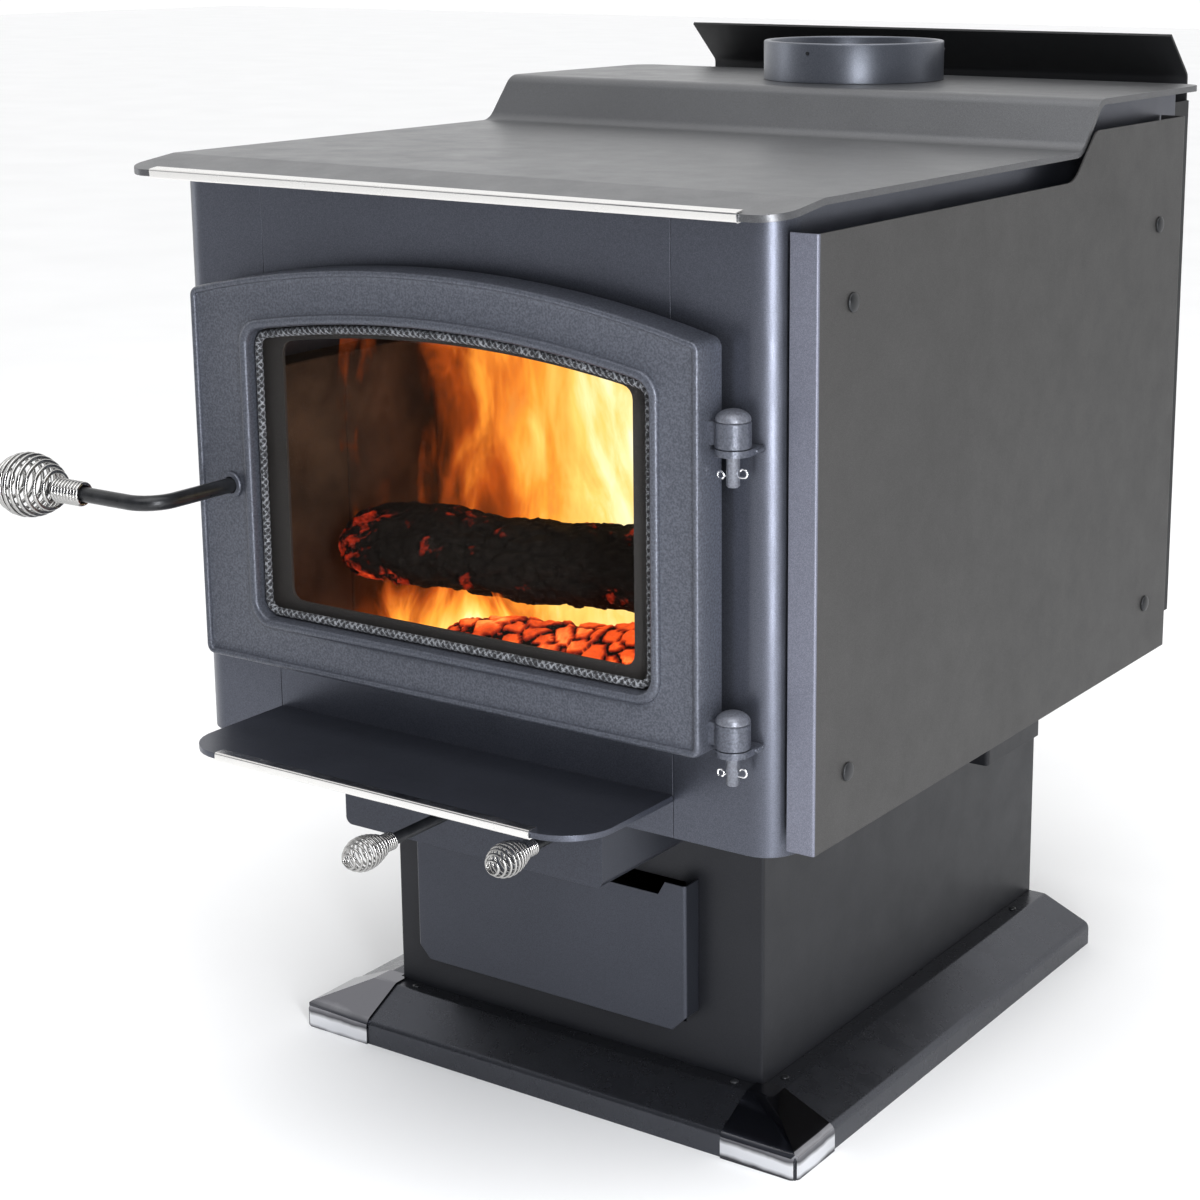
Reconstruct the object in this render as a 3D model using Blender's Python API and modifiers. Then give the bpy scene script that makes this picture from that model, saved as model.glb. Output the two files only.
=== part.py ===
"""Step-top wood burning stove on a pedestal, one named object for each piece.

Units are metres and +Z is up. The world origin is on the floor, under the middle of the base.
Every shape is written in the stove's own coordinates, where y = 0 is the front face of the firebox,
+X is the hinge side of the door and +Y runs back. One empty then places the whole stove.
"""

import math

import bmesh
import bpy
from mathutils import Matrix, Vector

# ---------------------------------------------------------------- driving dimensions
FRONT_Y = -0.345            # where the firebox front stands in the world
GAP = 0.0003                # clearance between pieces that touch

BODY_HALF = 0.282
BODY_BACK = 0.662
BODY_CORNER = 0.027
BODY_BOTTOM = 0.2933
BODY_PLATE = 0.006
SEAM_HALF = 0.1912

DECK_LOW = 0.7645
DECK_HIGH = 0.8043
STEP_FRONT = 0.4242
STEP_BACK = 0.4583
TOP_HALF = 0.303
TOP_FRONT = -0.038
TOP_FRONT_Z = 0.757
TOP_FOLD_Y = 0.020
TOP_BACK = 0.6755
TOP_PLATE = 0.005
TOP_CORNER = 0.025
TRIM_HALF = 0.270
TRIM_WALL = 0.001
TRIM_DEPTH = 0.008

FLUE_Y = 0.5803
FLUE_OUTER = 0.0824
FLUE_INNER = 0.0765
FLUE_HEIGHT = 0.0348

OPENING_HALF = 0.215
OPENING_LOW = 0.405
OPENING_HIGH = 0.648

DOOR_LEFT = -0.2365
DOOR_RIGHT = 0.2385
DOOR_LOW = 0.3725
DOOR_ARCH_TOP = 0.697
DOOR_ARCH_RADIUS = 0.983
DOOR_FRONT = -0.034
DOOR_BACK = -0.008
DOOR_LEDGE = -0.0242
BEAD_FRONT = -0.037
RIM = 0.0065                # width of the raised rim round the door
BEAD = 0.0085               # width of the raised bead round the window
WINDOW_LEFT = -0.178
WINDOW_RIGHT = 0.196
WINDOW_LOW = 0.412
WINDOW_DROP = 0.042         # how far the window's arch sits below the door's
WINDOW_CORNER = 0.014
GLASS_REBATE = 0.012
SEAL_INSET = 0.0085
SEAL_WIDTH = 0.009

HINGE_X = 0.2557
HINGE_Y = -0.020
KNUCKLE_RADIUS = 0.0127
KNUCKLE_HEIGHT = 0.0183
HINGE_PLATE = 0.0048
PIN_RADIUS = 0.0048
PIN_BORE = 0.0053
HINGE_UPPER_Z = 0.5957
HINGE_PITCH = 0.2149

LATCH_X = -0.2027
LATCH_Z = 0.5147
LATCH_ROD = 0.006
LATCH_REACH = 0.120
GRIP_NECK_X = -0.274

LIP_HALF = 0.1915
LIP_TOP = 0.3262
LIP_FOLD = -0.078
LIP_FRONT = -0.1172
LIP_FRONT_Z = 0.3274
LIP_PLATE = 0.0045
LIP_CORNER = 0.040
LIP_TRIM_HALF = 0.150

AIR_HALF = 0.1267
AIR_LOW = 0.2386
AIR_ROD_Z = 0.275
AIR_ROD = 0.0045
LEFT_AIR_X = -0.0095
LEFT_AIR_NECK = -0.080
RIGHT_AIR_X = 0.086
RIGHT_AIR_NECK = -0.032

BASE_HALF = 0.1869
BASE_FRONT = 0.1308
BASE_BACK = 0.615
BASE_WALL = 0.003
SKIRT_HALF = 0.2502
SKIRT_FRONT = 0.0775
SKIRT_LEDGE_Z = 0.0400
SKIRT_FOLD_Z = 0.0200
SIDE_LEDGE = 0.0170
FRONT_LEDGE = 0.0143
SKIRT_SHEET = 0.0015
CAP_SHEET = 0.0012
CAP_EDGE_X = 0.182
CAP_EDGE_Y = 0.1345

SHIELD_X = 0.3055
SHIELD_FRONT = 0.0079
SHIELD_BACK = 0.6307
SHIELD_LOW = 0.3004
SHIELD_SHEET = 0.0015
REAR_SHIELD_HALF = 0.262
REAR_SHIELD_Y = 0.745

DRAWER_LEFT = -0.1510
DRAWER_RIGHT = 0.1260
DRAWER_FACE = 0.1118
DRAWER_LOW = 0.0765
DRAWER_HIGH = 0.1900
DRAWER_TAB = 0.2015
PAN_LOW = 0.0820
PAN_INSET = 0.020
PAN_HIGH = 0.1850
PAN_BACK = 0.560

BRICK = 0.0315
BRICK_TOP = 0.590
TUBE_Z = 0.605
TUBE_RADIUS = 0.0115
ASH_Y = 0.300

# ---------------------------------------------------------------- scene, frames and materials
for old in list(bpy.data.objects):
    bpy.data.objects.remove(old, do_unlink=True)

STOVE = bpy.data.collections.new("wood_stove")
bpy.context.scene.collection.children.link(STOVE)
CUTTERS = bpy.data.collections.new("cutters")
CUTTERS.hide_render = True
bpy.context.scene.collection.children.link(CUTTERS)

stove_frame = bpy.data.objects.new("stove_frame", None)
stove_frame.location = (0.0, FRONT_Y, 0.0)
STOVE.objects.link(stove_frame)
FRAME_AT = {stove_frame.name: Vector((0.0, 0.0, 0.0))}


def joint_frame(name, position, parent=stove_frame):
    """An empty on a joint's axis, for the pieces that this joint moves."""
    empty = bpy.data.objects.new(name, None)
    empty.parent = parent
    empty.location = Vector(position) - FRAME_AT[parent.name]
    STOVE.objects.link(empty)
    FRAME_AT[name] = Vector(position)
    return empty


def material(name, colour, roughness, metallic):
    made = bpy.data.materials.new(name)
    made.use_nodes = True
    shader = made.node_tree.nodes["Principled BSDF"]
    shader.inputs["Base Color"].default_value = (*colour, 1.0)
    shader.inputs["Roughness"].default_value = roughness
    shader.inputs["Metallic"].default_value = metallic
    return made


BODY_PAINT = material("body_paint", (0.105, 0.112, 0.128), 0.55, 0.35)
SHIELD_PAINT = material("shield_paint", (0.100, 0.097, 0.092), 0.6, 0.25)
DEFLECTOR_PAINT = material("deflector_paint", (0.02, 0.021, 0.024), 0.6, 0.1)
CAST_PAINT = material("cast_paint", (0.10, 0.106, 0.122), 0.6, 0.3)
CHROME = material("chrome", (0.80, 0.80, 0.82), 0.12, 1.0)
BLACK_ROD = material("black_rod", (0.025, 0.026, 0.030), 0.35, 0.3)
FASTENER = material("fastener", (0.05, 0.05, 0.055), 0.4, 0.7)
PIN_STEEL = material("pin_steel", (0.38, 0.38, 0.42), 0.35, 0.9)
ROPE = material("glass_rope", (0.42, 0.43, 0.44), 0.9, 0.0)
GLASS = material("ceramic_glass", (0.35, 0.22, 0.14), 0.05, 0.0)
FIREBRICK = material("firebrick", (0.46, 0.36, 0.26), 0.95, 0.0)
BOARD = material("baffle_board", (0.60, 0.56, 0.50), 0.95, 0.0)
TUBE_STEEL = material("tube_steel", (0.30, 0.26, 0.24), 0.5, 0.8)
BARE_STEEL = material("bare_steel", (0.16, 0.155, 0.15), 0.55, 0.7)


def place(made, collection, paint, frame):
    """Links an object whose mesh is in stove coordinates, and hangs it on its frame."""
    for other in list(made.users_collection):
        other.objects.unlink(made)
    collection.objects.link(made)
    made.parent = frame
    made.location = -FRAME_AT[frame.name]
    if collection is CUTTERS:
        made.hide_render = True
        made.display_type = "WIRE"
    if paint is not None:
        made.data.materials.clear()
        made.data.materials.append(paint)
    return made


# ---------------------------------------------------------------- outlines
def rounded(corners, steps=5):
    """A closed outline from (x, y, radius) corners, with each radius as an arc."""
    points = []
    count = len(corners)
    for index, (x, y, radius) in enumerate(corners):
        corner = Vector((x, y))
        if radius == 0.0:
            points.append(corner)
            continue
        before = (Vector(corners[index - 1][:2]) - corner).normalized()
        after = (Vector(corners[(index + 1) % count][:2]) - corner).normalized()
        half = before.angle(after) / 2
        reach = radius / math.tan(half)
        centre = corner + (before + after).normalized() * (radius / math.sin(half))
        start = corner + before * reach - centre
        turn = start.angle_signed(corner + after * reach - centre)
        for step in range(steps + 1):
            points.append(centre + turned_by(start, turn * step / steps))
    return [tuple(point) for point in points]


def turned_by(vector, angle):
    """mathutils' angle_signed is clockwise, so this turns clockwise too."""
    return Vector((
        vector.x * math.cos(angle) + vector.y * math.sin(angle),
        vector.y * math.cos(angle) - vector.x * math.sin(angle),
    ))


def open_path(corners, steps=5):
    """Like rounded, for a path whose two ends stay sharp."""
    ends = [(*corners[0][:2], 0.0), *corners[1:-1], (*corners[-1][:2], 0.0)]
    return rounded(ends, steps)


def offset(path, distance):
    """The path moved to its right by distance, with mitred corners."""
    moved = []
    for index, point in enumerate(path):
        here = Vector(point)
        before = here - Vector(path[index - 1]) if index > 0 else None
        after = Vector(path[index + 1]) - here if index < len(path) - 1 else None
        normals = [
            Vector((side.y, -side.x)).normalized()
            for side in (before, after)
            if side is not None
        ]
        normal = sum(normals, Vector((0.0, 0.0))).normalized()
        moved.append(tuple(here + normal * (distance / normal.dot(normals[0]))))
    return moved


def band(path, thickness):
    """A closed outline as thick as a sheet, to the right of the path."""
    return [*path, *reversed(offset(path, thickness))]


def circle(x, y, radius, sides=32):
    return [
        (x + radius * math.cos(math.tau * n / sides), y + radius * math.sin(math.tau * n / sides))
        for n in range(sides)
    ]


def mirrored(outline):
    return [(-x, y) for x, y in reversed(outline)]


# ---------------------------------------------------------------- solids
AXES = {
    "xy": Matrix.Identity(4),
    "xz": Matrix(((1, 0, 0, 0), (0, 0, -1, 0), (0, 1, 0, 0), (0, 0, 0, 1))),
    "yz": Matrix(((0, 0, 1, 0), (1, 0, 0, 0), (0, 1, 0, 0), (0, 0, 0, 1))),
}


def prism(name, loops, plane, low, high, paint=None, frame=stove_frame, collection=STOVE):
    """The first outline extruded from low to high across its plane, with the other outlines cut through it."""
    shape = bmesh.new()
    face = shape.faces.new([shape.verts.new((u, v, low)) for u, v in loops[0]])
    lifted = bmesh.ops.extrude_face_region(shape, geom=[face])["geom"]
    moved = [part for part in lifted if isinstance(part, bmesh.types.BMVert)]
    bmesh.ops.translate(shape, vec=(0.0, 0.0, high - low), verts=moved)
    if plane == "xz":
        bmesh.ops.translate(shape, vec=(0.0, 0.0, -low - high), verts=shape.verts)
    bmesh.ops.transform(shape, matrix=AXES[plane], verts=shape.verts)
    bmesh.ops.recalc_face_normals(shape, faces=shape.faces)
    mesh = bpy.data.meshes.new(name)
    shape.to_mesh(mesh)
    shape.free()
    made = place(bpy.data.objects.new(name, mesh), collection, paint, frame)
    for number, loop in enumerate(loops[1:], 1):
        cut(made, prism(f"{name}_hole_{number}", [loop], plane, low - 0.01, high + 0.01, None, frame, CUTTERS))
    return made


def loft(name, rings, paint, frame):
    """A closed ring of material through (outline, y) rings that all have the same number of points."""
    shape = bmesh.new()
    rows = [[shape.verts.new((x, y, z)) for x, z in outline] for outline, y in rings]
    count = len(rows[0])
    for row, following in zip(rows, [*rows[1:], rows[0]]):
        for n in range(count):
            shape.faces.new((row[n], row[(n + 1) % count], following[(n + 1) % count], following[n]))
    bmesh.ops.recalc_face_normals(shape, faces=shape.faces)
    mesh = bpy.data.meshes.new(name)
    shape.to_mesh(mesh)
    shape.free()
    return place(bpy.data.objects.new(name, mesh), STOVE, paint, frame)


def weld(mesh):
    shape = bmesh.new()
    shape.from_mesh(mesh)
    bmesh.ops.remove_doubles(shape, verts=shape.verts, dist=1e-6)
    bmesh.ops.recalc_face_normals(shape, faces=shape.faces)
    shape.to_mesh(mesh)
    shape.free()


def box(name, low, high, paint=None, frame=stove_frame, collection=STOVE, bevel=0.0):
    bpy.ops.mesh.primitive_cube_add(size=1.0)
    made = bpy.context.object
    made.name = name
    made.data.name = name
    low, high = Vector(low), Vector(high)
    size = Matrix.Diagonal((*(high - low), 1.0))
    made.data.transform(Matrix.Translation((low + high) / 2) @ size)
    place(made, collection, paint, frame)
    if bevel:
        soften(made, bevel)
    return made


def cylinder(name, centre, radius, depth, axis="z", sides=32, paint=None, frame=stove_frame, collection=STOVE):
    bpy.ops.mesh.primitive_cylinder_add(vertices=sides, radius=radius, depth=depth)
    made = bpy.context.object
    made.name = name
    made.data.name = name
    turn = {"z": Matrix.Identity(4), "x": Matrix.Rotation(math.pi / 2, 4, "Y"),
            "y": Matrix.Rotation(math.pi / 2, 4, "X")}[axis]
    made.data.transform(Matrix.Translation(centre) @ turn)
    return place(made, collection, paint, frame)


def soften(made, width, segments=1):
    bevel = made.modifiers.new("soft_edges", "BEVEL")
    bevel.width = width
    bevel.segments = segments
    bevel.limit_method = "ANGLE"
    bevel.angle_limit = math.radians(40)
    return made


def turned(name, profile, centre, turn, paint, frame=stove_frame, steps=32, closed=False):
    """A profile of (radius, height) points, top to bottom, turned once round its own axis."""
    count = len(profile)
    edges = [(n, n + 1) for n in range(count - 1)]
    if closed:
        edges.append((count - 1, 0))
    mesh = bpy.data.meshes.new(name)
    mesh.from_pydata([(r, 0.0, h) for r, h in profile], edges, [])
    made = place(bpy.data.objects.new(name, mesh), STOVE, paint, frame)
    made.location = Vector(centre) - FRAME_AT[frame.name]
    made.rotation_euler = turn
    spin = made.modifiers.new("turned", "SCREW")
    spin.steps = steps
    spin.render_steps = steps
    spin.use_merge_vertices = True
    spin.merge_threshold = 0.0001
    spin.use_smooth_shade = True
    return made


def rod(name, points, radius, paint, frame=stove_frame, resolution=3, collection=STOVE):
    """A round bar along a chain of points, as a mesh, so that other shapes can join it."""
    curve = bpy.data.curves.new(name, "CURVE")
    curve.dimensions = "3D"
    curve.bevel_depth = radius
    curve.bevel_resolution = resolution
    curve.use_fill_caps = True
    spline = curve.splines.new("POLY")
    spline.points.add(len(points) - 1)
    for target, point in zip(spline.points, points):
        target.co = (*point, 1.0)
    drawn = bpy.data.objects.new(name + "_line", curve)
    bpy.context.scene.collection.objects.link(drawn)
    graph = bpy.context.evaluated_depsgraph_get()
    mesh = bpy.data.meshes.new_from_object(drawn.evaluated_get(graph))
    bpy.data.objects.remove(drawn, do_unlink=True)
    weld(mesh)
    for face in mesh.polygons:
        face.use_smooth = True
    return place(bpy.data.objects.new(name, mesh), collection, paint, frame)


def combine(made, other, operation):
    step = made.modifiers.new(operation.lower(), "BOOLEAN")
    step.operation = operation
    step.solver = "EXACT"
    step.object = other
    return made


def cut(made, *cutters):
    for cutter in cutters:
        combine(made, cutter, "DIFFERENCE")
    return made


def join(made, *others):
    for other in others:
        combine(made, other, "UNION")
    return made


# ---------------------------------------------------------------- outlines that several pieces share
def deck_path(back):
    """The top plate's upper surface seen from +X, from its drooping front edge to the back."""
    return open_path([
        (TOP_FRONT, TOP_FRONT_Z, 0),
        (TOP_FOLD_Y, DECK_LOW, 0.030),
        (STEP_FRONT, DECK_LOW, 0.020),
        (STEP_BACK, DECK_HIGH, 0.020),
        (back, DECK_HIGH, 0),
    ])


def door_arch(drop, left, right, steps=20):
    """The arched top of the door, lowered by drop, from its right end to its left end."""
    top = DOOR_ARCH_TOP - drop
    points = []
    for step in range(steps + 1):
        x = right + (left - right) * step / steps
        points.append((x, top - DOOR_ARCH_RADIUS + math.sqrt(DOOR_ARCH_RADIUS ** 2 - x ** 2)))
    return points


def door_outline(left, right, low, drop, corner):
    """A door-shaped loop: straight sides, rounded lower corners and an arched top."""
    arch = door_arch(drop, left, right)
    ends = [(*arch[0], corner), *[(*point, 0.0) for point in arch[1:-1]], (*arch[-1], corner)]
    return rounded([(left, low, corner), (right, low, corner), *ends], 4)


def sheet_step(name, top, low_z, high_z):
    """A cutter over a side sheet: everything above its own step in the sheet's top edge."""
    path = open_path([
        (-0.05, low_z, 0),
        (STEP_FRONT - 0.018, low_z, 0.030),
        (STEP_FRONT + 0.022, high_z, 0.012),
        (0.80, high_z, 0),
    ])
    return prism(name, [[*path, (0.80, top), (-0.05, top)]], "yz", -0.4, 0.4, collection=CUTTERS)


# ---------------------------------------------------------------- firebox
def build_firebox():
    under_deck = offset(deck_path(0.80), TOP_PLATE + GAP)
    above = [(-0.10, under_deck[0][1]), *under_deck, (0.80, 0.95), (-0.10, 0.95)]
    deck_cutter = prism("deck_cutter", [above], "yz", -0.4, 0.4, collection=CUTTERS)
    opening_cutter = prism(
        "opening_cutter",
        [rounded([
            (-OPENING_HALF, OPENING_LOW, 0.012), (OPENING_HALF, OPENING_LOW, 0.012),
            (OPENING_HALF, OPENING_HIGH, 0.012), (-OPENING_HALF, OPENING_HIGH, 0.012),
        ])],
        "xz", -0.02, BODY_PLATE + 0.004, collection=CUTTERS,
    )
    wrap = open_path([
        (BODY_HALF, BODY_BACK, 0),
        (BODY_HALF, 0.0, BODY_CORNER),
        (SEAM_HALF + GAP, 0.0, 0),
    ], 8)
    wrap = band(wrap, BODY_PLATE)
    for side, outline in (("right", wrap), ("left", mirrored(wrap))):
        name = f"firebox_{side}_side"
        plate = prism(name, [outline], "xy", BODY_BOTTOM, DECK_HIGH, BODY_PAINT)
        cut(plate, deck_cutter, opening_cutter)

    header_top = TOP_FRONT_Z - TOP_PLATE - GAP
    box("firebox_header", (-SEAM_HALF + GAP, 0.0, OPENING_HIGH), (SEAM_HALF - GAP, BODY_PLATE, header_top), BODY_PAINT)
    box("firebox_sill", (-SEAM_HALF + GAP, 0.0, BODY_BOTTOM), (SEAM_HALF - GAP, BODY_PLATE, OPENING_LOW), BODY_PAINT)

    inner = BODY_HALF - BODY_PLATE - GAP
    under = DECK_HIGH - TOP_PLATE - GAP
    box("firebox_back", (-inner, BODY_BACK - BODY_PLATE, BODY_BOTTOM + 0.003), (inner, BODY_BACK, under), BARE_STEEL)
    floor = rounded([
        (-inner, BODY_CORNER, 0), (-inner + BODY_CORNER, BODY_PLATE + GAP, 0),
        (inner - BODY_CORNER, BODY_PLATE + GAP, 0), (inner, BODY_CORNER, 0),
        (inner, BODY_BACK - BODY_PLATE - GAP, 0), (-inner, BODY_BACK - BODY_PLATE - GAP, 0),
    ])
    prism("firebox_floor", [floor, circle(0.0, ASH_Y, 0.036)], "xy", 0.2960, 0.3020, BARE_STEEL)


def build_top():
    path = deck_path(TOP_BACK)
    plate = prism("top_plate", [band(path, TOP_PLATE)], "yz", -0.33, 0.33, BODY_PAINT)
    plan = rounded([
        (TOP_HALF, TOP_BACK - 0.0005, 0.020), (TOP_HALF, TOP_FRONT + 0.0005, TOP_CORNER),
        (-TOP_HALF, TOP_FRONT + 0.0005, TOP_CORNER), (-TOP_HALF, TOP_BACK - 0.0005, 0.020),
    ], 8)
    plan_solid = prism("top_plan", [plan], "xy", 0.70, 0.86, collection=CUTTERS)
    combine(plate, plan_solid, "INTERSECT")
    flue_hole = cylinder("flue_hole", (0, FLUE_Y, DECK_HIGH), FLUE_INNER - 0.002, 0.05, sides=48, collection=CUTTERS)
    cut(plate, flue_hole)

    droop = math.atan2(DECK_LOW - TOP_FRONT_Z, TOP_FOLD_Y - TOP_FRONT)
    edge_trim("top_trim", (TOP_FRONT, TOP_FRONT_Z), droop, TOP_PLATE, TRIM_HALF)


def edge_trim(name, edge, slope, plate, half):
    """A bright U channel over the front edge of a sloping plate. edge is the plate's top front corner."""
    along = Vector((math.cos(slope), math.sin(slope)))
    up = Vector((-along.y, along.x))
    clear = GAP + TRIM_WALL

    def spot(back, rise):
        return tuple(Vector(edge) + along * back + up * rise)

    top = (*spot(TRIM_DEPTH, clear), 0)
    nose_top = (*spot(-clear, clear), 0.0016)
    nose_low = (*spot(-clear, -plate - clear), 0.0016)
    low = (*spot(TRIM_DEPTH, -plate - clear), 0)
    path = open_path([low, nose_low, nose_top, top], 3)
    prism(name, [band(path, TRIM_WALL)], "yz", -half, half, CHROME)


def build_flue_collar():
    profile = [
        (FLUE_OUTER - 0.0012, FLUE_HEIGHT), (FLUE_OUTER, FLUE_HEIGHT - 0.0012), (FLUE_OUTER, 0.0),
        (FLUE_INNER, 0.0), (FLUE_INNER, FLUE_HEIGHT - 0.0012), (FLUE_INNER + 0.0012, FLUE_HEIGHT),
    ]
    collar = turned("flue_collar", profile, (0, FLUE_Y, DECK_HIGH + GAP), (0, 0, 0), CAST_PAINT, steps=48, closed=True)
    for number in range(3):
        angle = math.radians(-90 + 120 * number)
        middle = (FLUE_OUTER + FLUE_INNER) / 2
        centre = (middle * math.cos(angle), FLUE_Y + middle * math.sin(angle), DECK_HIGH + 0.026)
        hole = cylinder(f"collar_hole_{number}", (0, 0, 0), 0.0022, 0.03, "x", 12, collection=CUTTERS)
        hole.data.transform(Matrix.Translation(centre) @ Matrix.Rotation(angle, 4, "Z"))
        cut(collar, hole)


# ---------------------------------------------------------------- heat shields
def build_shields():
    inner_edge = BODY_HALF + 0.001
    shield_path = open_path([
        (inner_edge, SHIELD_BACK, 0), (SHIELD_X, SHIELD_BACK, 0.003),
        (SHIELD_X, SHIELD_FRONT, 0.002), (inner_edge, SHIELD_FRONT, 0),
    ], 3)
    outline = band(shield_path, SHIELD_SHEET)
    step_cutter = sheet_step("shield_step", 0.9, 0.7415, 0.7797)
    sheet = prism("side_heat_shield", [outline], "xy", SHIELD_LOW, 0.82, SHIELD_PAINT)
    cut(sheet, step_cutter)
    screw_spots = [(y, z) for y in (0.054, 0.581) for z in (0.3507, 0.690)]
    for number, (y, z) in enumerate(screw_spots, 1):
        hole = cylinder(f"screw_hole_{number}", (SHIELD_X, y, z), 0.0036, 0.02, "x", 12, collection=CUTTERS)
        cut(sheet, hole)
        build_screw(f"shield_screw_{number}", (SHIELD_X + GAP, y, z))

    pan_path = open_path([
        (-REAR_SHIELD_HALF, BODY_BACK + GAP, 0), (-REAR_SHIELD_HALF, REAR_SHIELD_Y, 0.004),
        (REAR_SHIELD_HALF, REAR_SHIELD_Y, 0.004), (REAR_SHIELD_HALF, BODY_BACK + GAP, 0),
    ], 3)
    pan = prism("rear_heat_shield", [band(pan_path, SHIELD_SHEET)], "xy", SHIELD_LOW, 0.785, DEFLECTOR_PAINT)
    hood_path = open_path([
        (0.704, 0.846, 0), (REAR_SHIELD_Y + 0.0005, 0.8085, 0.008), (REAR_SHIELD_Y + 0.0005, 0.760, 0),
    ], 4)
    hood = prism("hood", [band(hood_path, 0.0025)], "yz", -0.2585, 0.2585, collection=CUTTERS)
    join(pan, hood)


def build_screw(name, seat):
    """A pan-head screw whose shank passes the side shield and stops on the firebox wall."""
    reach = SHIELD_X + GAP - BODY_HALF - GAP
    profile = [
        (0.0, 0.0030), (0.0040, 0.0027), (0.0064, 0.0016), (0.0074, 0.0), (0.0030, 0.0), (0.0030, -reach), (0.0, -reach),
    ]
    turned(name, profile, seat, (0, math.pi / 2, 0), FASTENER, steps=16)


# ---------------------------------------------------------------- ash lip, air box and base
def build_lip():
    path = open_path([(LIP_FRONT, LIP_FRONT_Z, 0), (LIP_FOLD, LIP_TOP, 0.030), (-GAP, LIP_TOP, 0)], 4)
    lip = prism("ash_lip", [band(path, LIP_PLATE)], "yz", -0.23, 0.23, BODY_PAINT)
    plan = rounded([
        (LIP_HALF, 0.02, 0), (LIP_HALF, LIP_FRONT + 0.0003, LIP_CORNER),
        (-LIP_HALF, LIP_FRONT + 0.0003, LIP_CORNER), (-LIP_HALF, 0.02, 0),
    ], 8)
    combine(lip, prism("lip_plan", [plan], "xy", 0.28, 0.36, collection=CUTTERS), "INTERSECT")
    slope = math.atan2(LIP_TOP - LIP_FRONT_Z, LIP_FOLD - LIP_FRONT)
    edge_trim("ash_lip_trim", (LIP_FRONT, LIP_FRONT_Z), slope, LIP_PLATE, LIP_TRIM_HALF)


def build_air_box():
    top = BODY_BOTTOM - GAP
    wall = 0.002
    face = rounded([
        (-AIR_HALF, AIR_LOW, 0.006), (AIR_HALF, AIR_LOW, 0.006), (AIR_HALF, top, 0), (-AIR_HALF, top, 0),
    ], 4)
    shell = prism("air_box", [face], "xz", 0.0, BASE_FRONT - GAP, BODY_PAINT)
    inside = rounded([
        (-AIR_HALF + wall, AIR_LOW + wall, 0.004), (AIR_HALF - wall, AIR_LOW + wall, 0.004),
        (AIR_HALF - wall, top + 0.01, 0), (-AIR_HALF + wall, top + 0.01, 0),
    ], 4)
    cut(shell, prism("air_box_inside", [inside], "xz", wall, BASE_FRONT - GAP - wall, collection=CUTTERS))
    for side, x in (("left", LEFT_AIR_X), ("right", RIGHT_AIR_X)):
        cut(shell, cylinder(f"{side}_air_hole", (x, 0, AIR_ROD_Z), AIR_ROD + 0.001, 0.02, "y", 20, collection=CUTTERS))


def build_base():
    outer = rounded([
        (-BASE_HALF, BASE_FRONT, 0.003), (BASE_HALF, BASE_FRONT, 0.003),
        (BASE_HALF, BASE_BACK, 0.003), (-BASE_HALF, BASE_BACK, 0.003),
    ], 2)
    inner_half = BASE_HALF - BASE_WALL
    inner = rounded([
        (-inner_half, BASE_FRONT + BASE_WALL, 0), (inner_half, BASE_FRONT + BASE_WALL, 0),
        (inner_half, BASE_BACK - BASE_WALL, 0), (-inner_half, BASE_BACK - BASE_WALL, 0),
    ])
    shell = prism("pedestal_shell", [outer, inner], "xy", 0.0, 0.2957, SHIELD_PAINT)
    cut(shell, box(
        "drawer_opening", (DRAWER_LEFT + 0.012, BASE_FRONT - 0.02, PAN_LOW - 0.006),
        (DRAWER_RIGHT - 0.012, BASE_FRONT + 0.02, PAN_HIGH + 0.012), collection=CUTTERS))
    box("pedestal_floor", (-inner_half + GAP, BASE_FRONT + BASE_WALL + GAP, 0.0),
        (inner_half - GAP, BASE_BACK - BASE_WALL - GAP, 0.005), BARE_STEEL)
    pan_left, pan_right = DRAWER_LEFT + PAN_INSET, DRAWER_RIGHT - PAN_INSET
    for side, low_x, high_x in (("left", pan_left - 0.002, pan_left + 0.012), ("right", pan_right - 0.012, pan_right + 0.002)):
        join(shell, box(
            f"{side}_pan_rail", (low_x, BASE_FRONT + 0.001, PAN_LOW - 0.012), (high_x, 0.590, PAN_LOW - GAP),
            collection=CUTTERS))

    channel = open_path([
        (BASE_HALF + GAP, 0.574, 0), (BASE_HALF + 0.024, 0.574, 0.004),
        (BASE_HALF + 0.024, 0.468, 0.004), (BASE_HALF + GAP, 0.468, 0),
    ], 2)
    channel = band(channel, 0.003)
    for side, outline in (("right", channel), ("left", mirrored(channel))):
        prism(f"{side}_support_bracket", [outline], "xy", 0.2120, BODY_BOTTOM + 0.002, SHIELD_PAINT)


def side_skirt_path():
    """The side skirt's outer surface seen from the front: up, over the fold and in to the pedestal."""
    return open_path([
        (SKIRT_HALF, 0.0, 0), (SKIRT_HALF, SKIRT_FOLD_Z, 0.007),
        (BASE_HALF + SIDE_LEDGE, SKIRT_LEDGE_Z, 0.006), (BASE_HALF + GAP, SKIRT_LEDGE_Z, 0),
    ], 3)


def front_skirt_path():
    return open_path([
        (SKIRT_FRONT, 0.0, 0), (SKIRT_FRONT, SKIRT_FOLD_Z, 0.007),
        (BASE_FRONT - FRONT_LEDGE, SKIRT_LEDGE_Z, 0.006), (BASE_FRONT - GAP, SKIRT_LEDGE_Z, 0),
    ], 3)


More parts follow.
